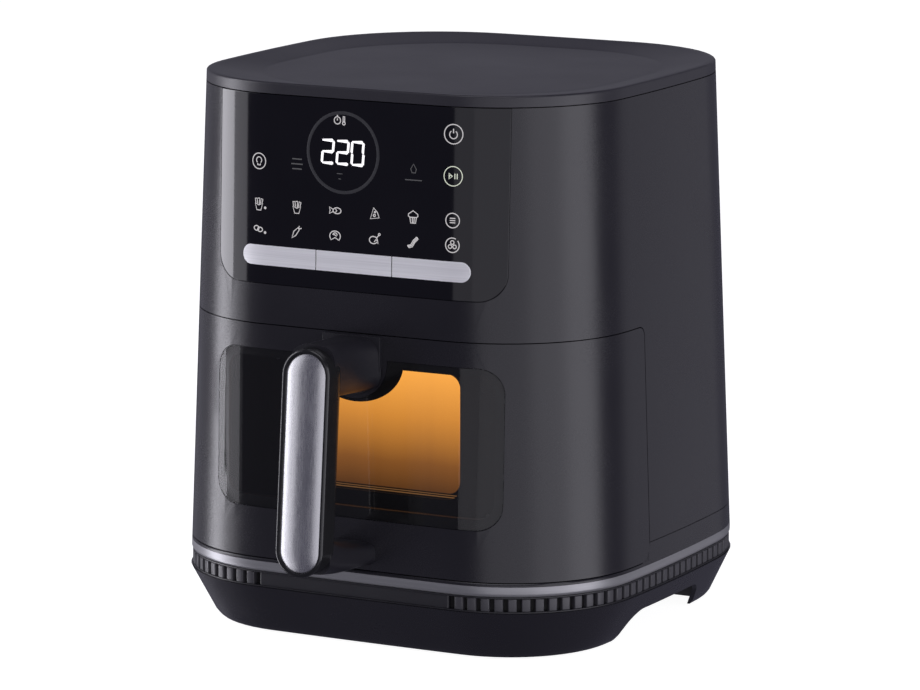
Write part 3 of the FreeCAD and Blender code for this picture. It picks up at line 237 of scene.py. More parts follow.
class Shade:
    """A shader socket that arithmetic works on: each operator adds its Math node."""

    def __init__(self, tree, socket=None):
        self.tree = tree
        self.socket = socket

    def node(self, kind, settings, sockets, output=0):
        """Add a node: first its settings or its ramp's stops, then the values or links of its sockets."""
        made = self.tree.nodes.new("ShaderNode" + kind)
        for name, setting in settings.items():
            if name == "stops":
                ramp = made.color_ramp.elements
                ramp.remove(ramp[0])
                ramp[0].position, ramp[0].color = setting[0][0], (*setting[0][1], 1)
                for place, colour in setting[1:]:
                    ramp.new(place).color = (*colour, 1)
            else:
                setattr(made, name, setting)
        self.connect(made, sockets)
        return Shade(self.tree, made.outputs[output])

    def connect(self, made, sockets):
        for name, given in sockets.items():
            if isinstance(given, Shade):
                self.tree.links.new(given.socket, made.inputs[name])
            elif isinstance(given, tuple) and len(given) == 3 and made.inputs[name].type == "RGBA":
                made.inputs[name].default_value = (*given, 1)
            else:
                made.inputs[name].default_value = given

    def math(self, operation, first, second, clamp=False):
        return self.node("Math", {"operation": operation, "use_clamp": clamp}, {0: first, 1: second})

    def __add__(self, other):
        return self.math("ADD", self, other)

    def __sub__(self, other):
        return self.math("SUBTRACT", self, other)

    def __rsub__(self, other):
        return self.math("SUBTRACT", other, self)

    def __mul__(self, other):
        return self.math("MULTIPLY", self, other)

    __radd__ = __add__
    __rmul__ = __mul__

    def noise(self, where, scale, detail=3.0, stretch=(1, 1, 1)):
        """Noise from 0 to 1 about 0.5, drawn out along an axis where stretch is small."""
        spread = self.node("Mapping", {}, {"Vector": where, "Scale": stretch})
        return self.node("TexNoise", {}, {"Vector": spread, "Scale": scale, "Detail": detail})

    def mix(self, share, first, second):
        return self.node("Mix", {"data_type": "RGBA"}, {0: share, 6: first, 7: second}, 2)

    def relief(self, height, depth, strength=1.0):
        return self.node("Bump", {}, {"Height": height, "Distance": depth, "Strength": strength})


def start_finish(slot):
    """An empty finish for one of the record's slots, with its surface and its place socket."""
    material = bpy.data.materials.new(slot + "_finish")
    material["slot"] = slot
    material.use_nodes = True
    shade = Shade(material.node_tree)
    where = shade.node("TexCoord", {}, {}, "Object")
    return material, material.node_tree.nodes["Principled BSDF"], shade, where


def darker(colour, factor):
    return tuple(part * factor for part in colour)


def moulded(slot, colour, roughness, grain=2200, depth=0.03, gloss_change=0.10):
    """Spark-textured plastic: fine grain in the relief, slow clouds in the gloss and in the colour."""
    material, surface, shade, where = start_finish(slot)
    cloud = shade.noise(where, 16, 4)
    speck = shade.noise(where, grain, 2)
    tint = shade.mix(cloud * 0.5 + speck * 0.5, darker(colour, 0.82), darker(colour, 1.18))
    shade.connect(surface, {
        "Base Color": tint,
        "Roughness": roughness + (cloud - 0.5) * gloss_change + (speck - 0.5) * 0.08,
        "Normal": shade.relief(speck, depth * mm)})
    return material


def brushed(slot, colour, roughness, stretch, depth=0.015, metal=1.0):
    """Brushed metal: hair lines drawn out along the axis where stretch is small, in gloss and colour."""
    material, surface, shade, where = start_finish(slot)
    hair = shade.noise(where, 900, 3, stretch)
    band = shade.noise(where, 160, 3, stretch)
    smudge = shade.noise(where, 22, 3)
    lines = hair * 0.6 + band * 0.4
    tint = shade.mix(lines, darker(colour, 0.72), darker(colour, 1.22))
    shade.connect(surface, {
        "Base Color": tint, "Metallic": metal,
        "Roughness": roughness + (lines - 0.5) * 0.22 + (smudge - 0.5) * 0.08,
        "Normal": shade.relief(hair, depth * mm)})
    return material


def rolled(slot, colour, roughness, scale=60, metal=1.0, depth=0.02, change=0.18):
    """Rolled or plated sheet and wire: rolling marks, spangle and handling marks."""
    material, surface, shade, where = start_finish(slot)
    spangle = shade.node("TexVoronoi", {}, {"Vector": where, "Scale": scale}, "Color")
    grey = shade.node("RGBToBW", {}, {"Color": spangle})
    mark = shade.noise(where, 35, 5, (1, 0.25, 1))
    tint = shade.mix(grey * 0.5 + mark * 0.5, darker(colour, 0.78), darker(colour, 1.15))
    shade.connect(surface, {
        "Base Color": tint, "Metallic": metal,
        "Roughness": roughness + (mark - 0.5) * change + (grey - 0.5) * 0.08,
        "Normal": shade.relief(mark, depth * mm)})
    return material


def dress(material):
    """Give a finish to every CAD piece of its slot."""
    for part in frame["record"]["subparts"]:
        if part["material_slot"] == material["slot"]:
            for held in frame["nodes"][part["node"]].material_slots:
                held.material = material


housing_plastic = moulded("housing_plastic", (0.0128, 0.0121, 0.0160), 0.26)
dress(housing_plastic)

skirt_low, collar_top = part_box("base_housing")[0].z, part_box("base_housing")[1].z
groove_low, groove_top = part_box("vent_band")[0].z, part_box("vent_band")[1].z
ring_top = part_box("trim_ring")[1].z
lip_top = ring_top + 1.9 * mm
seam_line = -40.4 * mm
base_wall, shell_wall, groove_depth, rebate_depth = 3 * mm, 2.8 * mm, 7 * mm, 2.6 * mm

skirt_rings = []
for share in (0.0, 0.04, 0.12, 0.3, 0.5, 0.7, 0.86, 0.95, 1.0):
    tuck = 1.4 * mm * (1 - min(share / 0.12, 1)) ** 2
    arcs = between(skirt_plan(tuck), body_plan(groove_low, tuck), share)
    skirt_rings.append(level_ring(arcs, skirt_low + (groove_low - skirt_low) * share))
collar = [(groove_low, groove_depth), (groove_top, groove_depth),
          (groove_top, rebate_depth), (ring_top, rebate_depth),
          (ring_top, 0.0), (lip_top, 0.0), (collar_top, 0.0),
          (collar_top, shell_wall), (lip_top, shell_wall),
          (ring_top - 1.5 * mm, groove_depth + 2 * mm), (groove_low - 2 * mm, groove_depth + 2 * mm)]
for level, inset in collar:
    skirt_rings.append(level_ring(body_plan(level, inset), level))
under_groove = between(skirt_plan(base_wall), body_plan(groove_low, base_wall), 0.9)
skirt_rings.append(level_ring(under_groove, groove_low - base_wall))
skirt_rings.append(level_ring(skirt_plan(base_wall), skirt_low))
base = make_piece("base_shell", draw_out(body_places, skirt_rings))

front_bay = rounded_block((-0.3, -0.3, lip_top), (0.3, seam_line, collar_top + 60 * mm), 12 * mm, 0)
cut_with(base, make_piece("front_bay", front_bay))
arch_front, arch_rear, arch_height, arch_slope = -60 * mm, 55 * mm, 18.6 * mm, 15 * mm
arch_flare, arch_round, arch_middle, arch_across = 9 * mm, 9 * mm, 174 * mm, 132 * mm
for side in (1, -1):
    arch = bmesh.new()
    bmesh.ops.create_cube(arch, size=1)
    middle = Vector((side * arch_middle, (arch_front + arch_rear) / 2, arch_height / 2 - 10 * mm))
    size = Vector((arch_across, arch_rear - arch_front, arch_height + 20 * mm))
    bmesh.ops.transform(arch, verts=arch.verts, matrix=Matrix.LocRotScale(middle, None, size))
    top_edges = [edge for edge in arch.edges if all(vert.co.z > 0 for vert in edge.verts)]
    for vert in arch.verts:
        if vert.co.z > 0:
            vert.co.y += arch_slope if vert.co.y < 0 else -arch_slope
        else:
            vert.co.y += -arch_flare if vert.co.y < 0 else arch_flare
    crossing = [edge for edge in top_edges if abs(edge.verts[0].co.x - edge.verts[1].co.x) > 50 * mm]
    round_off(arch, crossing, arch_round, 8)
    cut_with(base, make_piece("arch", arch))
finish_off(base, "housing", ["base_housing"], housing_plastic, edge=0.7 * mm)

# ---------------------------------------------------------------- bottom plate, feet and screws
# The pan that closes the base is moulded black plastic with a walled grip pocket behind each arch.
# Four rubber feet are pressed into it and four pan-head screws hold it to the base's bosses.

dress(moulded("inner_plastic", (0.012, 0.012, 0.013), 0.5, grain=900, depth=0.04))
dress(moulded("rubber", (0.018, 0.018, 0.018), 0.82, grain=700, depth=0.08))
dress(brushed("screw_steel", (0.52, 0.52, 0.53), 0.3, (1, 1, 1)))

# ---------------------------------------------------------------- vent band
# The band of upright fins is a satin grey moulding, clipped into the groove between two darker
# rails. The gaps let air in, and the middle of the front is a plain dark strip with round ends.

vent_plastic = moulded("vent_plastic", (0.045, 0.044, 0.050), 0.42, grain=1600)
dress(vent_plastic)
vent_dark = moulded("vent_plastic", (0.0125, 0.0120, 0.0155), 0.42, grain=1600)
# A near-black, rough finish: painted shade on the sheet behind the vent fins, and the black print on the
# pane's back.
shade_and_print_black = moulded("inner_plastic", (0.004, 0.004, 0.004), 0.75, grain=2600, depth=0.01)

fin_inset, fin_pitch, fin_width, plain_front = 0.9 * mm, 8 * mm, 5.1 * mm, 63 * mm
rail, rail_depth, fin_depth, first_gap = 0.9 * mm, 1.6 * mm, 5.2 * mm, 6.5 * mm
clear, backing_face, backing_back, band_back = 0.05 * mm, 4.6 * mm, 6.9 * mm, 4.8 * mm
# The sheet behind the fins is painted shade: a near-black ring that stands for the dark inside the vent gaps.
backing = body_band([(groove_low + clear, backing_face), (groove_top - clear, backing_face)],
                    [(groove_low + clear, backing_back), (groove_top - clear, backing_back)])
finish_off(make_piece("vent_shade_backing", backing), "housing", [], shade_and_print_black)


def walk_round(arcs, pitch, start_gap):
    """Places with outward headings along a plan's right half, from the middle of the front to the back."""
    spots = []
    travelled = start_gap
    for run in (6, 7, 0, 1, 2):
        centre, radius, start, end = arcs[run]
        if run == 6:
            start = (start + end) / 2
        if run == 2:
            end = (start + end) / 2
        length = radius * (end - start)
        while travelled < length:
            angle = start + travelled / radius
            spots.append((centre + Vector((math.cos(angle), math.sin(angle))) * radius, angle))
            travelled += pitch
        travelled -= length
    return spots


fins = bmesh.new()
fin_plan = body_plan((groove_low + groove_top) / 2, fin_inset)
for spot, angle in walk_round(fin_plan, fin_pitch, plain_front + first_gap):
    for side in (1, -1):
        made = bmesh.ops.create_cube(fins, size=1)["verts"]
        size = Vector((fin_depth, fin_width, groove_top - groove_low - 2 * rail))
        set_back = Matrix.LocRotScale((-size.x / 2, 0, 0), None, size)
        bmesh.ops.transform(fins, verts=made, matrix=set_back)
        front_edges = [edge for edge in fins.edges if edge.verts[0] in made and
                       all(vert.co.x > -1e-6 for vert in edge.verts)]
        outer = round_off(fins, front_edges, 0.7 * mm, 3)
        made = list({vert for vert in made if vert.is_valid} | set(outer["verts"]))
        turned = angle if side > 0 else math.pi - angle
        place = Matrix.Translation((side * spot.x, spot.y, (groove_low + groove_top) / 2))
        bmesh.ops.transform(fins, verts=made, matrix=place @ Matrix.Rotation(turned, 4, "Z"))
finish_off(make_piece("vent_fins", fins), "housing", ["vent_band"], vent_plastic)

for name, low, high in (("vent_rail_low", groove_low, groove_low + rail),
                        ("vent_rail_high", groove_top - rail, groove_top)):
    face = [(low, fin_inset + rail_depth), (low, fin_inset),
            (high, fin_inset), (high, fin_inset + rail_depth)]
    shape = body_band(face, [(low, band_back), (high, band_back)])
    finish_off(make_piece(name, shape), "housing", [], vent_dark, edge=0.3 * mm)

strip_low, strip_high, strip_inset = groove_low + 0.3 * mm, groove_top - 0.3 * mm, fin_inset + 0.4 * mm
plain = make_piece("vent_plain_front", body_band([(strip_low, strip_inset), (strip_high, strip_inset)],
                                                 [(strip_low, band_back), (strip_high, band_back)]))
middle = rounded_block((-plain_front, -0.2, 0), (plain_front, -0.1, 0.1), 3 * mm, 1)
cut_with(plain, make_piece("vent_middle", middle), "INTERSECT")
finish_off(plain, "housing", [], vent_dark, edge=1.2 * mm, rounds=4)

# ---------------------------------------------------------------- trim ring
# A rolled stainless strip, brushed along its length, sprung into the rebate under the drawer. Its
# lower edge curls in over the vents.

brushed_trim = brushed("brushed_trim", (0.30, 0.30, 0.31), 0.34, (0.015, 0.015, 1.6), metal=0.55)
dress(brushed_trim)
ring_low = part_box("trim_ring")[0].z
trim_top, trim_back, curl_height, curl_depth = ring_top - 0.05 * mm, 2.55 * mm, 2.6 * mm, 1.9 * mm


def quarter_round(steps):
    """Shares of a radius along a quarter circle: (gained, still to go) from its start to its end."""
    angles = [math.radians(90) * step / steps for step in range(steps + 1)]
    return [(1 - math.cos(angle), 1 - math.sin(angle)) for angle in angles]


curl = [(ring_low, 2.5 * mm)]
for gained, to_go in quarter_round(6):
    curl.append((ring_low + curl_height * gained, curl_depth * to_go))
trim = body_band(curl + [(trim_top, 0.0)], [(ring_low + 0.6 * mm, trim_back), (trim_top, trim_back)])
finish_off(make_piece("trim_strip", trim), "housing", ["trim_ring"], brushed_trim, edge=0.25 * mm)

# ---------------------------------------------------------------- upper housing
# One tapered shell of satin anthracite plastic, moulded in one shot, that drops over the chamber. The
# drawer's bay is cut from its front, and the control panel lies in a shallow seat above it.

shell_low, shell_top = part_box("upper_housing")[0].z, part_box("upper_housing")[1].z
main_seam = 188.5 * mm
upper = make_piece("upper_shell", body_band(levels_up(shell_low, shell_top, 10, 0.0),
                                            levels_up(shell_low, shell_top, 10, shell_wall)))
bay = rounded_block((-0.3, -0.3, -0.1), (0.3, seam_line, main_seam), 6 * mm, 0)
cut_with(upper, make_piece("drawer_bay", bay))


def front_block(low, high, radius):
    """A block through the front wall with an (x, z) outline."""
    return rounded_block((low[0], -0.2, low[1]), (high[0], -0.1, high[1]), radius, 1, 16)


panel_low, panel_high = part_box("control_panel")
panel_corner, panel_thick = 16 * mm, 2 * mm
seat_gap = 0.25 * mm
seat_low = panel_low.z - 20 * mm
seat = make_piece("seat_layer", body_band(levels_up(seat_low, body_top, 4, -1 * mm),
                                          levels_up(seat_low, body_top, 4, panel_thick)))
seat_outline = front_block((panel_low.x - seat_gap, panel_low.z - seat_gap),
                           (panel_high.x + seat_gap, body_top + 60 * mm), panel_corner)
cut_with(seat, make_piece("seat_outline", seat_outline), "INTERSECT")
cut_with(upper, seat)
grille_low, grille_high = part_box("rear_grille")
grille_gap = 0.3 * mm
outlet = rounded_block((grille_low.x - grille_gap, 0.1, grille_low.z - grille_gap),
                       (grille_high.x + grille_gap, 0.2, grille_high.z + grille_gap), 0.3 * mm, 1, 2)
cut_with(upper, make_piece("outlet", outlet))
inlet_low, inlet_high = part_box("cord_inlet")
inlet_radius = 7.1 * mm
quarter_turn = Matrix.Rotation(math.radians(90), 3, "X")


def drum(name, radius, depth, middle, segments):
    """A drum that lies along Y, to cut a round opening with."""
    shape = bmesh.new()
    bmesh.ops.create_cone(shape, cap_ends=True, segments=segments, radius1=radius, radius2=radius, depth=depth)
    bmesh.ops.rotate(shape, verts=shape.verts, matrix=quarter_turn)
    bmesh.ops.translate(shape, verts=shape.verts, vec=middle)
    return make_piece(name, shape)


cut_with(upper, drum("inlet", inlet_radius, 80 * mm, (0, 140 * mm, (inlet_low.z + inlet_high.z) / 2), 48))
finish_off(upper, "housing", ["upper_housing"], housing_plastic, edge=0.45 * mm)

# ---------------------------------------------------------------- lid
# A separate moulding a shade lighter than the shell, clipped on after the fan motor is in. A thin
# rim falls by a soft slope to a flat middle, so that the top can hold a dish.

lid_plastic = moulded("lid_plastic", (0.0225, 0.0215, 0.0275), 0.36)
dress(lid_plastic)
lid_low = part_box("lid_cover")[0].z
lid_wall, lid_round, rim_width = 3.2 * mm, 1.3 * mm, 3.4 * mm
flat_level = body_top - 3.6 * mm
flat_plan = plan(111 * mm, 111 * mm, 82 * mm, 88 * mm, 0.0)
lid_rings = [level_ring(body_plan(lid_low, lid_wall), lid_low + 0.9 * mm),
             level_ring(body_plan(lid_low, lid_wall), lid_low), level_ring(body_plan(lid_low), lid_low)]
for gained, to_go in quarter_round(4):
    edge_plan = body_plan(body_top - lid_round, lid_round * gained)
    lid_rings.append(level_ring(edge_plan, body_top - lid_round * to_go))
rim_plan = body_plan(body_top, rim_width)
lid_rings.append(level_ring(rim_plan, body_top))
ease_in, ease_out, ease_strength = 0.08, 0.92, 6
for share in (0.04, 0.08, 0.3, 0.5, 0.7, 0.92, 0.96, 1.0):
    ease = ease_strength * (max(0.0, ease_in - share) ** 2 - max(0.0, share - ease_out) ** 2)
    slope_level = body_top + (flat_level - body_top) * (share - ease)
    lid_rings.append(level_ring(between(rim_plan, flat_plan, share), slope_level))
small_plan = [(centre * 0.3, radius * 0.3, start, end) for centre, radius, start, end in flat_plan]
for share in (0.03, 0.1, 0.4, 0.7, 1.0):
    lid_rings.append(level_ring(between(flat_plan, small_plan, share), flat_level))
lid = draw_out(body_places, lid_rings, "capped")
finish_off(make_piece("lid_shell", lid), "housing", ["lid_cover"], lid_plastic, edge=0.3 * mm, sharp=40)

# ---------------------------------------------------------------- control panel
# A gloss black lens, printed on its back and pressed to the curve of the front wall. The lit symbols
# shine through it; a brushed mode bar and a thin dial ring are let into its face.


def wall_depth(x, level, inset):
    """How far the front wall stands at a place across it, as a Y."""
    arcs = body_plan(level, inset)
    corner, face = arcs[7], arcs[6]
    face_edge = spot_on(arcs, 7.0).x
    centre, radius = (corner[0], corner[1]) if abs(x) > face_edge else (face[0], face[1])
    return centre.y - math.sqrt(max(radius ** 2 - (abs(x) - centre.x) ** 2, 0.0))


def press_on(shape, inset):
    """Press a flat shape, drawn across the front at Y 0, to the curve of the wall."""
    for vert in shape.verts:
        vert.co.y += wall_depth(vert.co.x, vert.co.z, inset)


def slice_across(shape, half, pitch):
    """Cut a flat shape into upright strips so that it can bend."""
    count = int(2 * half / pitch)
    for index in range(1, count):
        x = -half + 2 * half * index / count
        bmesh.ops.bisect_plane(shape, geom=shape.verts[:] + shape.edges[:] + shape.faces[:], dist=1e-6,
                               plane_co=(x, 0, 0), plane_no=(1, 0, 0))


def flat_plate(low, high, radius, thick, pitch=4 * mm, square_top=False):
    """A flat plate with an (x, z) outline, rounded in its corners and cut into strips."""
    shape = bmesh.new()
    bmesh.ops.create_grid(shape, x_segments=1, y_segments=1, size=0.5)
    bmesh.ops.rotate(shape, verts=shape.verts, matrix=quarter_turn)
    size = Vector((high[0] - low[0], 1, high[1] - low[1]))
    middle = Vector(((low[0] + high[0]) / 2, 0, (low[1] + high[1]) / 2))
    bmesh.ops.transform(shape, verts=shape.verts, matrix=Matrix.LocRotScale(middle, None, size))
    rounded = [vert for vert in shape.verts if not (square_top and vert.co.z > middle.z)]
    round_off(shape, rounded, radius, 14, "VERTICES")
    slice_across(shape, (high[0] - low[0]) / 2, pitch)
    drawn = bmesh.ops.extrude_face_region(shape, geom=shape.faces[:])["geom"]
    bmesh.ops.translate(shape, verts=points_in(drawn), vec=(0, thick, 0))
    bmesh.ops.recalc_face_normals(shape, faces=shape.faces)
    return shape


gloss_panel, panel_surface, shade, where = start_finish("gloss_panel")
smear = shade.noise(where, 28, 4)
dust = shade.noise(where, 1500, 2)
shade.connect(panel_surface, {
    "Base Color": shade.mix(smear, (0.0030, 0.0028, 0.0050), (0.0048, 0.0045, 0.0070)),
    "Roughness": 0.05 + smear * 0.05 + dust * 0.02,
    "Normal": shade.relief(smear, 0.01 * mm), "IOR": 1.45})
dress(gloss_panel)

lens = flat_plate((panel_low.x, panel_low.z), (panel_high.x, panel_high.z), panel_corner, panel_thick,
                  square_top=True)
press_on(lens, 0.0)
panel_face = make_piece("panel_lens", lens)
finish_off(panel_face, "housing", ["control_panel"], gloss_panel, edge=0.35 * mm, rounds=3)

bar_low, bar_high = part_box("mode_bar")
bar_radius = (bar_high.z - bar_low.z) / 2 - 0.05 * mm
bar_thick, bar_proud, bar_parting, bar_gap = 0.9 * mm, 0.25 * mm, 25 * mm, 0.3 * mm
key_ends = ((bar_low.x, -bar_parting - bar_gap), (bar_gap - bar_parting, bar_parting - bar_gap),
            (bar_parting + bar_gap, bar_high.x))
key_silver = brushed("brushed_trim", (0.90, 0.90, 0.91), 0.36, (0.015, 0.015, 1.6), metal=0.25)
for index, (left, right) in enumerate(key_ends):
    part = flat_plate((bar_low.x, bar_low.z), (bar_high.x, bar_high.z), bar_radius, bar_thick, 3 * mm)
    for x, way in ((left, -1), (right, 1)):
        cut = bmesh.ops.bisect_plane(part, geom=part.verts[:] + part.edges[:] + part.faces[:], dist=1e-6,
                                     plane_co=(x, 0, 0), plane_no=(way, 0, 0), clear_outer=True)
        edges = edges_in(cut["geom_cut"])
        if edges:
            bmesh.ops.contextual_create(part, geom=edges)
    press_on(part, -bar_proud)
    key = make_piece(f"mode_key_{index}", part)
    finish_off(key, "housing", ["mode_bar"] if index == 0 else [], key_silver, edge=0.25 * mm)

dial_metal = brushed("dial_metal", (0.055, 0.055, 0.060), 0.38, (1, 1, 1), metal=0.4)
dress(dial_metal)
dial_low, dial_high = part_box("dial_ring")
dial_middle = Vector(((dial_low.x + dial_high.x) / 2, 0, (dial_low.z + dial_high.z) / 2))
dial_radius = (dial_high.x - dial_low.x) / 2


def ring_line(middle, outer, width, count=96):
    """Rings for a flat hoop drawn across the front, from its back edge round to its front."""
    def hoop(radius, lift):
        return lambda place: (middle.x + radius * math.cos(place), lift, middle.z + radius * math.sin(place))
    sunk, shoulder, crest = 0.4 * mm, -0.06 * mm, -0.12 * mm
    rings = [hoop(outer, sunk), hoop(outer, shoulder), hoop(outer - width * 0.3, crest),
             hoop(outer - width * 0.7, crest), hoop(outer - width, shoulder), hoop(outer - width, sunk)]
    return draw_out([2 * math.pi * step / count for step in range(count)], rings)


dial = ring_line(dial_middle, dial_radius, 1.9 * mm)
press_on(dial, 0.0)
finish_off(make_piece("dial_hoop", dial), "housing", ["dial_ring"], dial_metal)

# ---------------------------------------------------------------- lit symbols
# The symbols and the digits are light guides that shine through clear windows in the lens's black
# print. Each is drawn as a line of light, laid a hair's breadth over the face of the lens.


def lit(name, colour, strength):
    """A lit symbol: a glow that varies a little at random across each guide."""
    material, surface, shade, where = start_finish("display_face")
    material.name = name
    glow = shade.noise(where, 220, 2)
    shade.connect(surface, {"Base Color": darker(colour, 0.4), "Roughness": 0.3 + glow * 0.1,
                            "Emission Color": shade.mix(glow, darker(colour, 0.75), colour),
                            "Emission Strength": strength})
    return material


dress(moulded("display_face", (0.006, 0.006, 0.007), 0.12))
symbol_light = lit("symbol_light", (0.62, 0.60, 0.60), 0.75)
digit_light = lit("digit_light", (0.95, 0.93, 0.95), 1.3)
start_light = lit("start_light", (0.62, 0.66, 0.54), 1.0)
faint_light = lit("faint_light", (0.2, 0.2, 0.2), 0.16)


def draw_symbol(name, x, level, size, strokes, material, width=0.66 * mm):
    """Draw strokes, each a list of (across, up) points from -1 to 1, as flat lines on the lens.
    A stroke that ends where it starts is a closed loop."""
    pen = bpy.data.curves.new(name, "CURVE")
    pen.dimensions = "3D"
    pen.bevel_depth = width / 2
    pen.bevel_resolution = 1
    for stroke in strokes:
        closed = stroke[0] == stroke[-1] and len(stroke) > 2
        points = stroke[:-1] if closed else stroke
        line = pen.splines.new("POLY")
        line.points.add(len(points) - 1)
        line.use_cyclic_u = closed
        for point, (across, up) in zip(line.points, points):
            point.co = (x + across * size, 0, level + up * size, 1)
    drawing = bpy.data.objects.new(name, pen)
    bpy.context.scene.collection.objects.link(drawing)
    mesh = bpy.data.meshes.new_from_object(drawing.evaluated_get(bpy.context.evaluated_depsgraph_get()))
    bpy.data.objects.remove(drawing)
    shape = bmesh.new()
    shape.from_mesh(mesh)
    for vert in shape.verts:
        vert.co.y *= 0.12
    bmesh.ops.holes_fill(shape, edges=shape.edges)
    press_on(shape, -0.02 * mm)
    bmesh.ops.recalc_face_normals(shape, faces=shape.faces)
    finish_off(make_piece(name, shape), "housing", [], material)


def loop_of(across, up, radius, start=0.0, end=360.0, count=28, squash=1.0):
    """Points round a circle or an arc, in a symbol's own units."""
    points = []
    for step in range(count + 1):
        angle = math.radians(start + (end - start) * step / count)
        points.append((across + radius * math.cos(angle), up + radius * squash * math.sin(angle)))
    if end - start == 360:
        points[-1] = points[0]
    return points


fries = [[(-0.75, 0.15), (-0.4, -1.0), (0.4, -1.0), (0.75, 0.15), (0, -0.15), (-0.75, 0.15)],
         [(-0.6, 0.2), (-0.75, 0.9), (-0.35, 0.95), (-0.25, 0.1)], [(-0.2, 0.95), (0.15, 1.0), (0.1, 0.0)],
         [(0.3, 0.1), (0.45, 0.95), (0.8, 0.8), (0.62, 0.2)]]
dot = [loop_of(1.25, -0.55, 0.16, count=8), loop_of(1.25, -0.55, 0.05, count=6)]
fish = [loop_of(0.35, 0, 0.75, count=24, squash=0.66),
        [(-0.35, 0.15), (-1.1, 0.55), (-0.95, 0), (-1.1, -0.55), (-0.35, -0.15)],
        [(0.05, 0.3), (0.3, 0.0), (0.05, -0.3)]]
pizza = [[(-0.75, -0.85), (-0.15, 1.0), (0.55, 0.3), (0.9, -0.6), (-0.75, -0.85)],
         loop_of(0.0, -0.25, 0.2, count=10), loop_of(0.1, 0.3, 0.12, count=8)]
muffin = [[(-0.6, -0.05), (-0.45, -1.0), (0.45, -1.0), (0.6, -0.05)],
          [(-0.6, -0.05), (-0.9, 0.15), (-0.85, 0.5), (0.0, 1.05),
           (0.85, 0.5), (0.9, 0.15), (0.6, -0.05), (-0.6, -0.05)],
          [(-0.15, -0.1), (-0.12, -0.95)], [(0.2, -0.1), (0.15, -0.95)]]
nuggets = [loop_of(-0.45, 0.1, 0.5, count=14, squash=0.8), loop_of(0.25, -0.1, 0.5, count=14, squash=0.75)]
carrot = [[(-0.9, -1.0), (-0.55, 0.1), (0.25, 0.75), (0.5, 0.4), (-0.2, -0.6), (-0.9, -1.0)],
          [(0.35, 0.6), (0.5, 1.05)], [(0.4, 0.55), (0.95, 0.7)]]
steak = [loop_of(0.0, -0.1, 1.0, -20, 200, 20, 0.85)
         + [(-0.75, -0.75), (0.0, -0.35), (0.75, -0.75), (0.94, -0.39)],
         loop_of(0.0, 0.05, 0.4, 0, 180, 10), [(-0.3, 0.25), (0.3, -0.1)]]
chicken = [loop_of(-0.15, -0.2, 0.75, 20, 330, 20, 0.8) + [(0.75, -0.75), (0.55, 0.05)],
           [(0.45, 0.2), (0.85, 0.65)], loop_of(0.95, 0.8, 0.17, count=8),
           [(0.0, -0.5), (0.3, -0.1), (0.6, -0.3)]]
bacon = [[(-1.0, -0.6), (-0.4, -0.45), (0.1, 0.35), (0.7, 0.9)],
         [(-0.7, -0.95), (-0.1, -0.75), (0.4, 0.05), (0.95, 0.55)],
         [(-1.0, -0.6), (-0.7, -0.95)], [(0.7, 0.9), (0.95, 0.55)],
         [(-0.85, -0.78), (-0.2, -0.55), (0.3, 0.25), (0.82, 0.72)]]
bulb = [loop_of(0, 0, 1.0), loop_of(0, 0.12, 0.4, -50, 230, 14),
        [(-0.2, -0.3), (-0.2, -0.5), (0.2, -0.5), (0.2, -0.3)]]
power = [loop_of(0, 0, 1.0), loop_of(0, -0.05, 0.42, 125, 415, 16), [(0, 0.1), (0, 0.55)]]
start = [loop_of(0, 0, 1.0), [(-0.45, 0.3), (-0.05, 0.0), (-0.45, -0.3), (-0.45, 0.3)],
         [(-0.4, 0.15), (-0.4, -0.15)], [(-0.3, 0.1), (-0.15, 0.0)],
         [(0.2, 0.28), (0.2, -0.28)], [(0.45, 0.28), (0.45, -0.28)]]
menu = [loop_of(0, 0, 1.0), [(-0.4, 0.3), (0.4, 0.3)], [(-0.4, 0.0), (0.4, 0.0)], [(-0.4, -0.3), (0.4, -0.3)]]
blades = [loop_of(x, y, 0.26, count=10) for x, y in ((0, 0.38), (0.33, -0.2), (-0.33, -0.2))]
fan = [loop_of(0, 0, 1.0, 60, 400)] + blades
timer = [loop_of(-0.6, 0, 0.75, count=20), [(-0.6, 0.0), (-0.6, 0.4)], [(-0.75, 1.0), (-0.45, 1.0)],
         [(0.75, -0.3), (0.75, 0.85), (1.1, 0.85), (1.1, -0.3)], loop_of(0.92, -0.55, 0.32, count=12)]
three_lines = [[(-1, 0.9), (1, 0.9)], [(-1.2, 0), (1.2, 0)], [(-1, -0.9), (1, -0.9)]]
flame = [[(0, 1.5), (-0.6, 0.5), (-0.3, -0.2), (0.4, -0.2), (0.6, 0.5), (0, 1.5)],
         [(-1.8, -1.6), (1.8, -1.6)]]
unit_lines = [[(-0.9, 0.5), (0.9, 0.5)], [(-0.4, -1), (0.4, -1)]]

columns = [x * mm for x in (-63.7, -38.0, -12.4, 13.4, 38.6)]
upper_row, lower_row = 258.4 * mm, 243.9 * mm
dish_rows = ((upper_row, {"fries_large": fries + dot, "fries": fries, "fish": fish,
                          "pizza": pizza, "muffin": muffin}),
             (lower_row, {"nuggets": nuggets + dot, "carrot": carrot, "steak": steak,
                          "chicken": chicken, "bacon": bacon}))
for level, dishes in dish_rows:
    for column, (name, strokes) in zip(columns, dishes.items()):
        draw_symbol("symbol_" + name, column, level, 3.5 * mm, strokes, symbol_light)
key_column, dial_column = 63.8 * mm, -9.6 * mm
draw_symbol("symbol_lamp", columns[0], 283.6 * mm, 4.6 * mm, bulb, symbol_light)
draw_symbol("symbol_power", key_column, 307.7 * mm, 5.6 * mm, power, symbol_light)
draw_symbol("symbol_start", key_column, 283.6 * mm, 5.6 * mm, start, start_light, 0.55 * mm)
draw_symbol("symbol_menu", key_column, 258.2 * mm, 4.2 * mm, menu, symbol_light)
draw_symbol("symbol_fan", key_column, 244.0 * mm, 4.2 * mm, fan, symbol_light)
draw_symbol("symbol_timer", dial_column, 310.8 * mm, 2.8 * mm, timer, symbol_light)
draw_symbol("mark_shake", columns[1], 283.7 * mm, 3.2 * mm, three_lines, faint_light, 0.8 * mm)
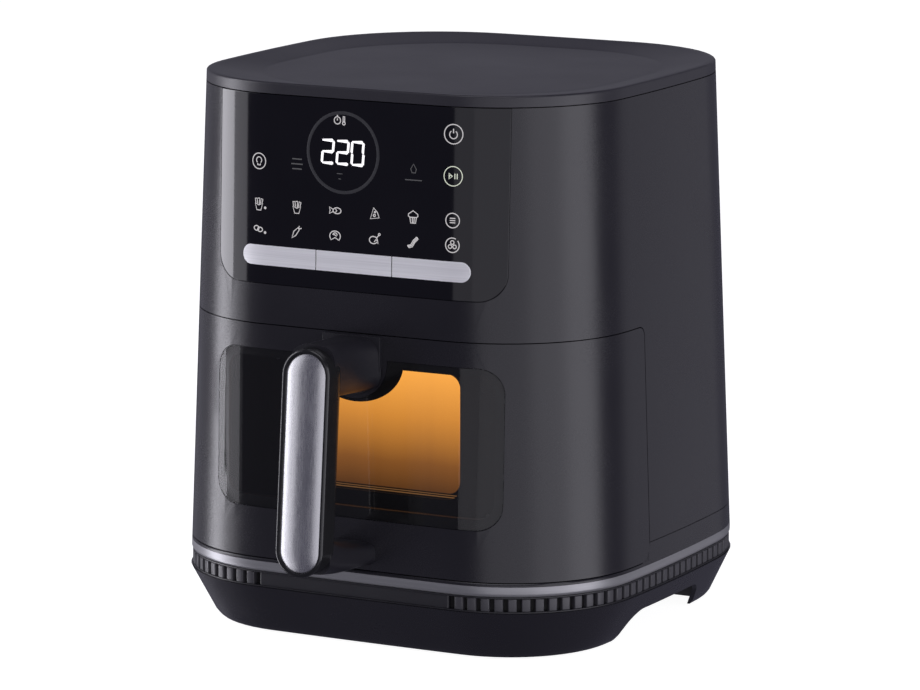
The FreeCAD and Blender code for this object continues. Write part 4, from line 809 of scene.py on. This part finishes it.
draw_symbol("mark_preheat", columns[4], 284.5 * mm, 3.0 * mm, flame, faint_light)
draw_symbol("mark_unit", dial_column, 279 * mm, 2.0 * mm, unit_lines, faint_light, 0.5 * mm)

# The display shows three digits of seven bars each, with mitred ends.
digit_height, digit_width, digit_pitch = 13.2 * mm, 7.4 * mm, 9.8 * mm
digit_base, digit_left = 285.8 * mm, -21.2 * mm
digit_bar, digit_thick, digit_proud, mitre_gap = 1.9 * mm, 0.05 * mm, 0.06 * mm, 0.52
bars = {"top": ((0, 1), (1, 1)), "high_left": ((0, 0.5), (0, 1)), "high_right": ((1, 0.5), (1, 1)),
        "middle": ((0, 0.5), (1, 0.5)), "low_left": ((0, 0), (0, 0.5)), "low_right": ((1, 0), (1, 0.5)),
        "bottom": ((0, 0), (1, 0))}
lit_bars = {"2": ("top", "high_right", "middle", "low_left", "bottom"),
            "0": ("top", "high_left", "high_right", "low_left", "low_right", "bottom")}
digits = bmesh.new()
for index, digit in enumerate("220"):
    left = digit_left + index * digit_pitch
    for bar_name in lit_bars[digit]:
        from_point, to_point = (Vector((left + x * digit_width, 0, digit_base + z * digit_height))
                                for x, z in bars[bar_name])
        line = (to_point - from_point).normalized()
        made = bmesh.ops.create_circle(digits, cap_ends=True, segments=6, radius=digit_bar / 2)
        hexagon = made["verts"]
        bmesh.ops.rotate(digits, verts=hexagon, matrix=quarter_turn)
        if abs(line.z) > 0.5:
            bmesh.ops.rotate(digits, verts=hexagon, matrix=Matrix.Rotation(math.radians(90), 3, "Y"))
        reach = (to_point - from_point).length / 2 - digit_bar * mitre_gap
        for vert in hexagon:
            vert.co += line * math.copysign(reach, vert.co.dot(line)) + (from_point + to_point) / 2
drawn = bmesh.ops.extrude_face_region(digits, geom=digits.faces[:])["geom"]
bmesh.ops.translate(digits, verts=points_in(drawn), vec=(0, digit_thick, 0))
bmesh.ops.recalc_face_normals(digits, faces=digits.faces)
press_on(digits, -digit_proud)
finish_off(make_piece("display_digits", digits), "housing", [], digit_light)

# ---------------------------------------------------------------- chamber, heater and fan
# The chamber is folded steel sheet under a heat shield and a pad of mineral board. A tube heater
# hangs round the fan, behind a wire guard, and a lamp with a heat-proof lens lights the food.

dress(rolled("chamber_steel", (0.30, 0.30, 0.31), 0.38))
dress(rolled("galvanised_sheet", (0.50, 0.51, 0.53), 0.42, scale=140))
dress(rolled("heater_steel", (0.16, 0.13, 0.11), 0.5, scale=300))
dress(rolled("guard_wire", (0.65, 0.65, 0.66), 0.25, scale=400))
dress(rolled("fan_aluminium", (0.66, 0.66, 0.68), 0.36, scale=200))
dress(rolled("motor_steel", (0.20, 0.20, 0.21), 0.45, scale=260))
dress(rolled("nonstick", (0.022, 0.022, 0.024), 0.34, scale=900, metal=0.0, change=0.1))
dress(moulded("insulation", (0.62, 0.60, 0.54), 0.95, grain=420, depth=0.6))
dress(moulded("silicone", (0.03, 0.03, 0.031), 0.62, grain=900, depth=0.05))
dress(moulded("circuit_board", (0.012, 0.075, 0.03), 0.42, grain=260, depth=0.02))
dress(moulded("component_black", (0.015, 0.015, 0.016), 0.45, grain=1200))
dress(moulded("cable_grey", (0.32, 0.32, 0.34), 0.55, grain=1100))
dress(moulded("ceramic", (0.74, 0.71, 0.64), 0.28, grain=500))
dress(moulded("fan_plastic", (0.05, 0.05, 0.052), 0.45, grain=1000))
dress(moulded("switch_white", (0.66, 0.66, 0.64), 0.4, grain=900))


def glazed(slot, colour, alpha, roughness=0.03, glow=None):
    """Glass: smooth, with a faint uneven polish, seen through as far as alpha allows."""
    material, surface, shade, where = start_finish(slot)
    polish = shade.noise(where, 30, 3)
    shade.connect(surface, {"Base Color": shade.mix(polish, darker(colour, 0.9), colour),
                            "Roughness": roughness + polish * 0.03, "Alpha": alpha, "IOR": 1.6})
    if glow:
        shade.connect(surface, {"Emission Color": shade.mix(polish, darker(glow, 0.8), glow),
                                "Emission Strength": 2.0})
    return material


dress(glazed("lamp_glow", (1.0, 0.75, 0.4), 1.0, 0.3, (1.0, 0.62, 0.25)))
dress(glazed("lamp_glass", (0.9, 0.85, 0.75), 0.35))

# ---------------------------------------------------------------- drawer front
# The drawer's front is moulded like the housing and wraps round both sides to the side seams. Its
# window opening is a rounded rectangle with a round tab for the handle let down into its top edge.

drawer_low, drawer_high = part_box("drawer_front")
drawer_wall = 3 * mm
wrap_edge = drawer_high.y
front = make_piece("drawer_shell", body_band(levels_up(drawer_low.z, drawer_high.z, 8, 0.0),
                                             levels_up(drawer_low.z, drawer_high.z, 8, drawer_wall)))
wrap = rounded_block((-0.3, -0.3, drawer_low.z - 30 * mm), (0.3, wrap_edge, drawer_high.z), 5.5 * mm, 0)
cut_with(front, make_piece("drawer_wrap", wrap), "INTERSECT")
glass_low, glass_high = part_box("window_glass")
glass_corner, glass_gap = 15 * mm, 0.3 * mm
notch_level, notch_radius = 172 * mm, 22.6 * mm


def notch_drum(radius):
    """A drum through the front wall where the handle's tongue comes down."""
    return drum("notch", radius, 0.3, (0, 0, notch_level), 96)


opening = front_block((glass_low.x - glass_gap, glass_low.z - glass_gap),
                      (glass_high.x + glass_gap, glass_high.z + glass_gap), glass_corner)
opening = make_piece("glass_opening", opening)
cut_with(opening, notch_drum(notch_radius - glass_gap))
cut_with(front, opening)
flange_thick, flange_inset, flange_back, flange_gap = 3 * mm, 2.9 * mm, -101.2 * mm, 0.1 * mm
for name, low, high in (("drawer_flange_low", drawer_low.z + flange_gap, drawer_low.z + flange_thick),
                        ("drawer_flange_high", drawer_high.z - flange_thick, drawer_high.z - flange_gap)):
    rings = [level_ring(body_plan(level, flange_inset), level) for level in (low, high)]
    flange = make_piece(name, draw_out(body_places, rings, "capped"))
    keep = rounded_block((-0.2, -0.2, 0), (0.2, flange_back, 0.3), 0.5 * mm, 2, 2)
    cut_with(flange, make_piece("flange_keep", keep), "INTERSECT")
    finish_off(flange, "drawer", [], housing_plastic, edge=0.4 * mm)
finish_off(front, "drawer", ["drawer_front"], housing_plastic, edge=0.45 * mm)

# ---------------------------------------------------------------- window
# The outer pane is smoked heat-proof glass, bent to the wall and bonded flush. Behind it a black
# moulded panel leaves a port for the inner pane. The chamber lamp's warm light on that pane is painted
# light: an amber glow in the pane itself, brighter towards the top of the port.


def bend_piece(piece, inset):
    """Press a piece that was cut while flat to the curve of the wall."""
    bent = bmesh.new()
    bent.from_mesh(piece.data)
    press_on(bent, inset)
    bent.to_mesh(piece.data)
    bent.free()


smoked = glazed("window_glass", (0.010, 0.010, 0.011), 0.50, 0.02)
dress(smoked)
pane_thick = 2.9 * mm
pane = flat_plate((glass_low.x, glass_low.z), (glass_high.x, glass_high.z), glass_corner, pane_thick)
pane = make_piece("window_pane", pane)
cut_with(pane, notch_drum(notch_radius))
bend_piece(pane, 0.0)
finish_off(pane, "drawer", ["window_glass"], smoked, edge=0.3 * mm)


def border_ring(half_wide, half_high, lift):
    """A ring of the black border printed on the pane's back, an ellipse round the tongue."""
    return lambda place: (half_wide * math.cos(place), lift, notch_level + half_high * math.sin(place))


border_inside, border_wide, border_high, print_thick = 20 * mm, 31.5 * mm, 24.6 * mm, 0.08 * mm
border = draw_out([2 * math.pi * step / 96 for step in range(96)],
                  [border_ring(border_inside, border_inside, 0.0), border_ring(border_wide, border_high, 0.0),
                   border_ring(border_wide, border_high, print_thick),
                   border_ring(border_inside, border_inside, print_thick)])
border = make_piece("pane_border", border)
inside_pane = rounded_block((-0.05, -0.1, 0.1), (0.05, 0.1, glass_high.z - 3 * mm), 1 * mm, 1, 2)
cut_with(border, make_piece("pane_inside", inside_pane), "INTERSECT")
bend_piece(border, drawer_wall)
finish_off(border, "drawer", [], shade_and_print_black)

# Painted light: the inner pane glows amber, as the lamp behind it would light it, brighter towards the top of
# the port and streaked upright.
glow_painted_glass, glow_painted_surface, shade, where = start_finish("clear_glass")
port_low, port_high = 90 * mm, 161 * mm
height = shade.node("SeparateXYZ", {}, {"Vector": where}, "Z")
rise = shade.node("MapRange", {}, {"Value": height, "From Min": port_low, "From Max": port_high})
streak = shade.noise(where, 45, 3, (1, 1, 0.08))
painted_amber_glow = shade.node("ValToRGB", {"stops": [(0.0, (0.062, 0.022, 0.005)), (0.25, (0.21, 0.075, 0.014)),
                                          (0.6, (0.62, 0.24, 0.035)), (1.0, (1.0, 0.42, 0.07))]},
                   {"Fac": rise * 0.9 + streak * 0.14 - 0.02})
shade.connect(glow_painted_surface, {"Base Color": (0.03, 0.015, 0.006), "Roughness": 0.08 + streak * 0.06,
                            "Emission Color": painted_amber_glow, "Emission Strength": 4.1})
dress(glow_painted_glass)

# Two folds of the inner pane's clip run along the foot of the port. Their brightness is a painted highlight: a
# warm glow that stands for the lamp catching them.
fold_painted_highlight = glazed("clear_glass", (0.10, 0.05, 0.02), 1.0, 0.3, (0.35, 0.156, 0.044))
fold_left, fold_right, fold_front, fold_back = -49 * mm, 48 * mm, -101.7 * mm, -101.05 * mm
for name, level, tall in (("clip_fold_low", 87.75 * mm, 0.55 * mm), ("clip_fold_high", 89.1 * mm, 0.4 * mm)):
    fold = rounded_block((fold_left, fold_front, level), (fold_right, fold_back, level + tall),
                         0.15 * mm, 0, 3)
    finish_off(make_piece(name, fold), "drawer", [], fold_painted_highlight)

# ---------------------------------------------------------------- handle
# A semi-gloss black grip with a stadium outline leans forward towards its foot, on two satin arms.
# The upper arm flares into a tongue that hangs over the window, the lower runs to a root.

handle_plastic = moulded("handle_plastic", (0.010, 0.010, 0.011), 0.20,
                         grain=1500, depth=0.008, gloss_change=0.06)
dress(handle_plastic)
arm_plastic = moulded("handle_plastic", (0.0115, 0.0110, 0.0150), 0.36)
grip_top, grip_bottom = 187.4 * mm, 56.5 * mm
reach_top, reach_bottom = 193.4 * mm, 205.4 * mm
grip_half, grip_depth, back_round = 15.5 * mm, 19 * mm, 7 * mm
lean = (reach_bottom - reach_top) / (grip_top - grip_bottom)
round_places = [(step + 0.5) * 2 * math.pi / 64 for step in range(64)]


def grip_front(level):
    """Where the grip's face stands at a level, as a Y."""
    return -reach_top - (grip_top - level) * lean


def stadium(inset, behind):
    """A ring of the grip: its stadium outline drawn in by inset, standing behind its face."""
    radius = grip_half - inset
    high, low = grip_top - grip_half, grip_bottom + grip_half

    def spot(place):
        level = (high if math.sin(place) > 0 else low) + radius * math.sin(place)
        return radius * math.cos(place), grip_front(level) + behind, level
    return spot


face_round = 1.6 * mm
grip_rings = [stadium(face_round + 0.7 * mm, 3.0 * mm), stadium(face_round + 0.6 * mm, 0.0)]
for gained, to_go in quarter_round(6):
    grip_rings.append(stadium(face_round * to_go, face_round * gained))
grip_rings.append(stadium(0.0, grip_depth * 0.5))
for gained, to_go in quarter_round(8):
    grip_rings.append(stadium(back_round * gained, grip_depth - back_round * to_go))
grip_rings.append(stadium(10 * mm, grip_depth))
grip = draw_out(round_places, grip_rings, "capped")


def arm_ring(y, level, half_width, half_height, tilt=0.0, square=0.62):
    """A ring of an arm: a softened rectangle across it, tipped back by tilt degrees."""
    rise, run = math.cos(math.radians(tilt)), math.sin(math.radians(tilt))

    def spot(place):
        across = math.copysign(abs(math.cos(place)) ** square, math.cos(place)) * half_width
        up = math.copysign(abs(math.sin(place)) ** square, math.sin(place)) * half_height
        return across, y - up * run, level + up * rise
    return spot


arm_places = [step * 2 * math.pi / 72 for step in range(72)]
tongue_half, arm_half, arm_rings = 18.9 * mm, 14.6 * mm, 11
upper_arm = []
lower_arm = []
for ring in range(arm_rings):
    flare = max(0.0, 1 - ring / 5) ** 2
    upper_arm.append(arm_ring((-139.5 - 4.6 * ring) * mm, (170.6 + 0.25 * ring) * mm,
                              arm_half + (tongue_half - arm_half) * flare, (16.2 - 0.05 * ring) * mm))
    swell = (ring / 10) ** 2
    flare = max(0.0, 1 - ring / 4) ** 2
    lower_arm.append(arm_ring((-140.5 - 5.0 * ring) * mm, (58.8 + 0.6 * ring * swell + 0.35 * ring) * mm,
                              (13.4 + 2.4 * flare) * mm, (7.4 + 5.0 * swell) * mm))
for name, rings in (("handle_upper_arm", upper_arm), ("handle_lower_arm", lower_arm)):
    finish_off(make_piece(name, draw_out(arm_places, rings, "capped")), "drawer", [], arm_plastic, sharp=50)
finish_off(make_piece("handle_grip", grip), "drawer", ["handle"], handle_plastic, sharp=50)

tongue_level, tongue_thick = 171.5 * mm, 2.6 * mm
tongue = bmesh.new()
bmesh.ops.create_circle(tongue, cap_ends=True, segments=96, radius=tongue_half)
bmesh.ops.rotate(tongue, verts=tongue.verts, matrix=quarter_turn)
for vert in tongue.verts:
    vert.co.z = vert.co.z + tongue_level if vert.co.z < 1e-6 else grip_top - 0.2 * mm
bmesh.ops.remove_doubles(tongue, verts=tongue.verts, dist=1e-5)
drawn = bmesh.ops.extrude_face_region(tongue, geom=tongue.faces[:])["geom"]
bmesh.ops.translate(tongue, verts=points_in(drawn), vec=(0, -tongue_thick, 0))
press_on(tongue, 0.05 * mm)
bmesh.ops.recalc_face_normals(tongue, faces=tongue.faces)
finish_off(make_piece("handle_tongue", tongue), "drawer", [], arm_plastic, edge=0.9 * mm, rounds=4)

# The grip's face carries a pressed stainless plate, crowned and brushed upright, in a thin black rim.
handle_brushed = brushed("handle_brushed", (0.60, 0.60, 0.61), 0.27, (1.6, 1.6, 0.015), 0.002, 1.0)
dress(handle_brushed)
plate_inset, plate_half, plate_sunk, plate_crown, crown_steps = 2.25 * mm, 12.6 * mm, 1.3 * mm, 2.5 * mm, 14
plate_rings = [stadium(plate_inset, 2.8 * mm)]
for step in range(crown_steps + 1):
    share = step / crown_steps
    crown = plate_crown * (1 - (1 - share) ** 2)
    plate_rings.append(stadium(plate_inset + plate_half * share, plate_sunk - crown))
plate = draw_out(round_places, plate_rings, "capped")
grip_plate = make_piece("grip_plate", plate)
finish_off(grip_plate, "drawer", ["handle_plate"], handle_brushed, sharp=60)

# ---------------------------------------------------------------- studio
# A pale floor that fills the view, narrow bright soft boxes on the left, wide dim ones on the right
# and a soft light overhead. Two small boxes light only the polished faces and the grip's plate.

floor = bmesh.new()
bmesh.ops.create_grid(floor, x_segments=1, y_segments=1, size=30)
floor = make_piece("studio_floor", floor)
paper = bpy.data.materials.new("studio_paper")
paper.use_nodes = True
shade = Shade(paper.node_tree)
where = shade.node("TexCoord", {}, {}, "Object")
fibre = shade.noise(where, 400, 2)
shade.connect(paper.node_tree.nodes["Principled BSDF"], {
    "Base Color": shade.mix(fibre, (0.38, 0.38, 0.38), (0.42, 0.42, 0.42)), "Roughness": 0.9,
    "Specular IOR Level": 0.1, "Emission Color": (1, 1, 1), "Emission Strength": 0.95})
floor.data.materials.append(paper)
floor.visible_glossy = False
floor.visible_diffuse = False
floor.visible_shadow = False

world = bpy.data.worlds.new("studio_room")
world.use_nodes = True
world.node_tree.nodes["Background"].inputs["Color"].default_value = (0.86, 0.84, 1.12, 1)
world.node_tree.nodes["Background"].inputs["Strength"].default_value = 0.12
bpy.context.scene.world = world


def soft_box(name, azimuth, distance, height, width, tall, power, aim=0.16):
    """A flat soft light at an azimuth from straight in front, in degrees towards +X."""
    lamp = bpy.data.lights.new(name, "AREA")
    lamp.shape = "RECTANGLE"
    lamp.size, lamp.size_y = width, tall
    lamp.energy = power
    lamp.color = (1.0, 0.985, 1.06)
    holder = bpy.data.objects.new(name, lamp)
    bpy.context.scene.collection.objects.link(holder)
    turn = math.radians(azimuth)
    spot = Vector((distance * math.sin(turn), -distance * math.cos(turn), height))
    holder.location = spot
    holder.rotation_euler = (Vector((0, 0, aim)) - spot).to_track_quat("-Z", "Y").to_euler()
    return holder


soft_box("left_box", -77, 3.0, 0.2, 0.90, 4.4, 74)
soft_box("left_fade_box", -60.5, 3.0, 0.2, 0.79, 4.4, 18)
soft_box("left_rear_box", -109, 3.0, 0.2, 2.30, 4.4, 4)
soft_box("right_front_box", 24, 4.2, 0.2, 3.39, 4.4, 36)
soft_box("right_middle_box", 61, 3.6, 0.2, 1.93, 4.2, 32)
soft_box("right_corner_box", 91, 3.6, 0.2, 1.93, 4.2, 50)
soft_box("right_side_box", 150, 3.6, 0.2, 1.8, 4.0, 5.5)
soft_box("top_box", 10, 1.0, 3.4, 2.6, 2.6, 30, aim=0.3)
soft_box("back_box", 205, 4.0, 1.2, 4.0, 1.6, 2.5)


def light_only(box, name, pieces):
    """Let a soft box reach these pieces and nothing else."""
    lit_pieces = bpy.data.collections.new(name)
    for piece in pieces:
        lit_pieces.objects.link(piece)
    box.light_linking.receiver_collection = lit_pieces


light_only(soft_box("gloss_box", -6, 4.2, 0.2, 1.18, 4.4, 9.5), "polished", [panel_face, pane])
light_only(soft_box("plate_box", -44, 3.0, 0.2, 0.84, 4.4, 8), "plate_only", [grip_plate])

chamber_lamp = bpy.data.lights.new("chamber_lamp", "POINT")
chamber_lamp.energy = 0.3
chamber_lamp.color = (1.0, 0.58, 0.22)
chamber_lamp.shadow_soft_size = 0.012
lamp_holder = bpy.data.objects.new("chamber_lamp", chamber_lamp)
lamp_low, lamp_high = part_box("lamp_bulb")
lamp_middle, lamp_shift = (lamp_low + lamp_high) / 2, 14 * mm
lamp_holder.location = (lamp_middle.x - lamp_shift, lamp_middle.y - lamp_shift, 0.18)
bpy.context.scene.collection.objects.link(lamp_holder)

camera = bpy.data.cameras.new("camera")
camera.sensor_width = 36
camera.lens = 194.9
camera.clip_end = 100
eye = bpy.data.objects.new("camera", camera)
right, up = Vector((0.88333, 0.46875, 0)), Vector((-0.08593, 0.16194, 0.98305))
back = Vector((0.46081, -0.86836, 0.18332))
stand = Matrix.Translation((1.38055, -2.60848, 0.70849))
eye.matrix_world = stand @ Matrix((right, up, back)).transposed().to_4x4()
bpy.context.scene.collection.objects.link(eye)
bpy.context.scene.camera = eye
bpy.context.scene.view_settings.view_transform = "Standard"
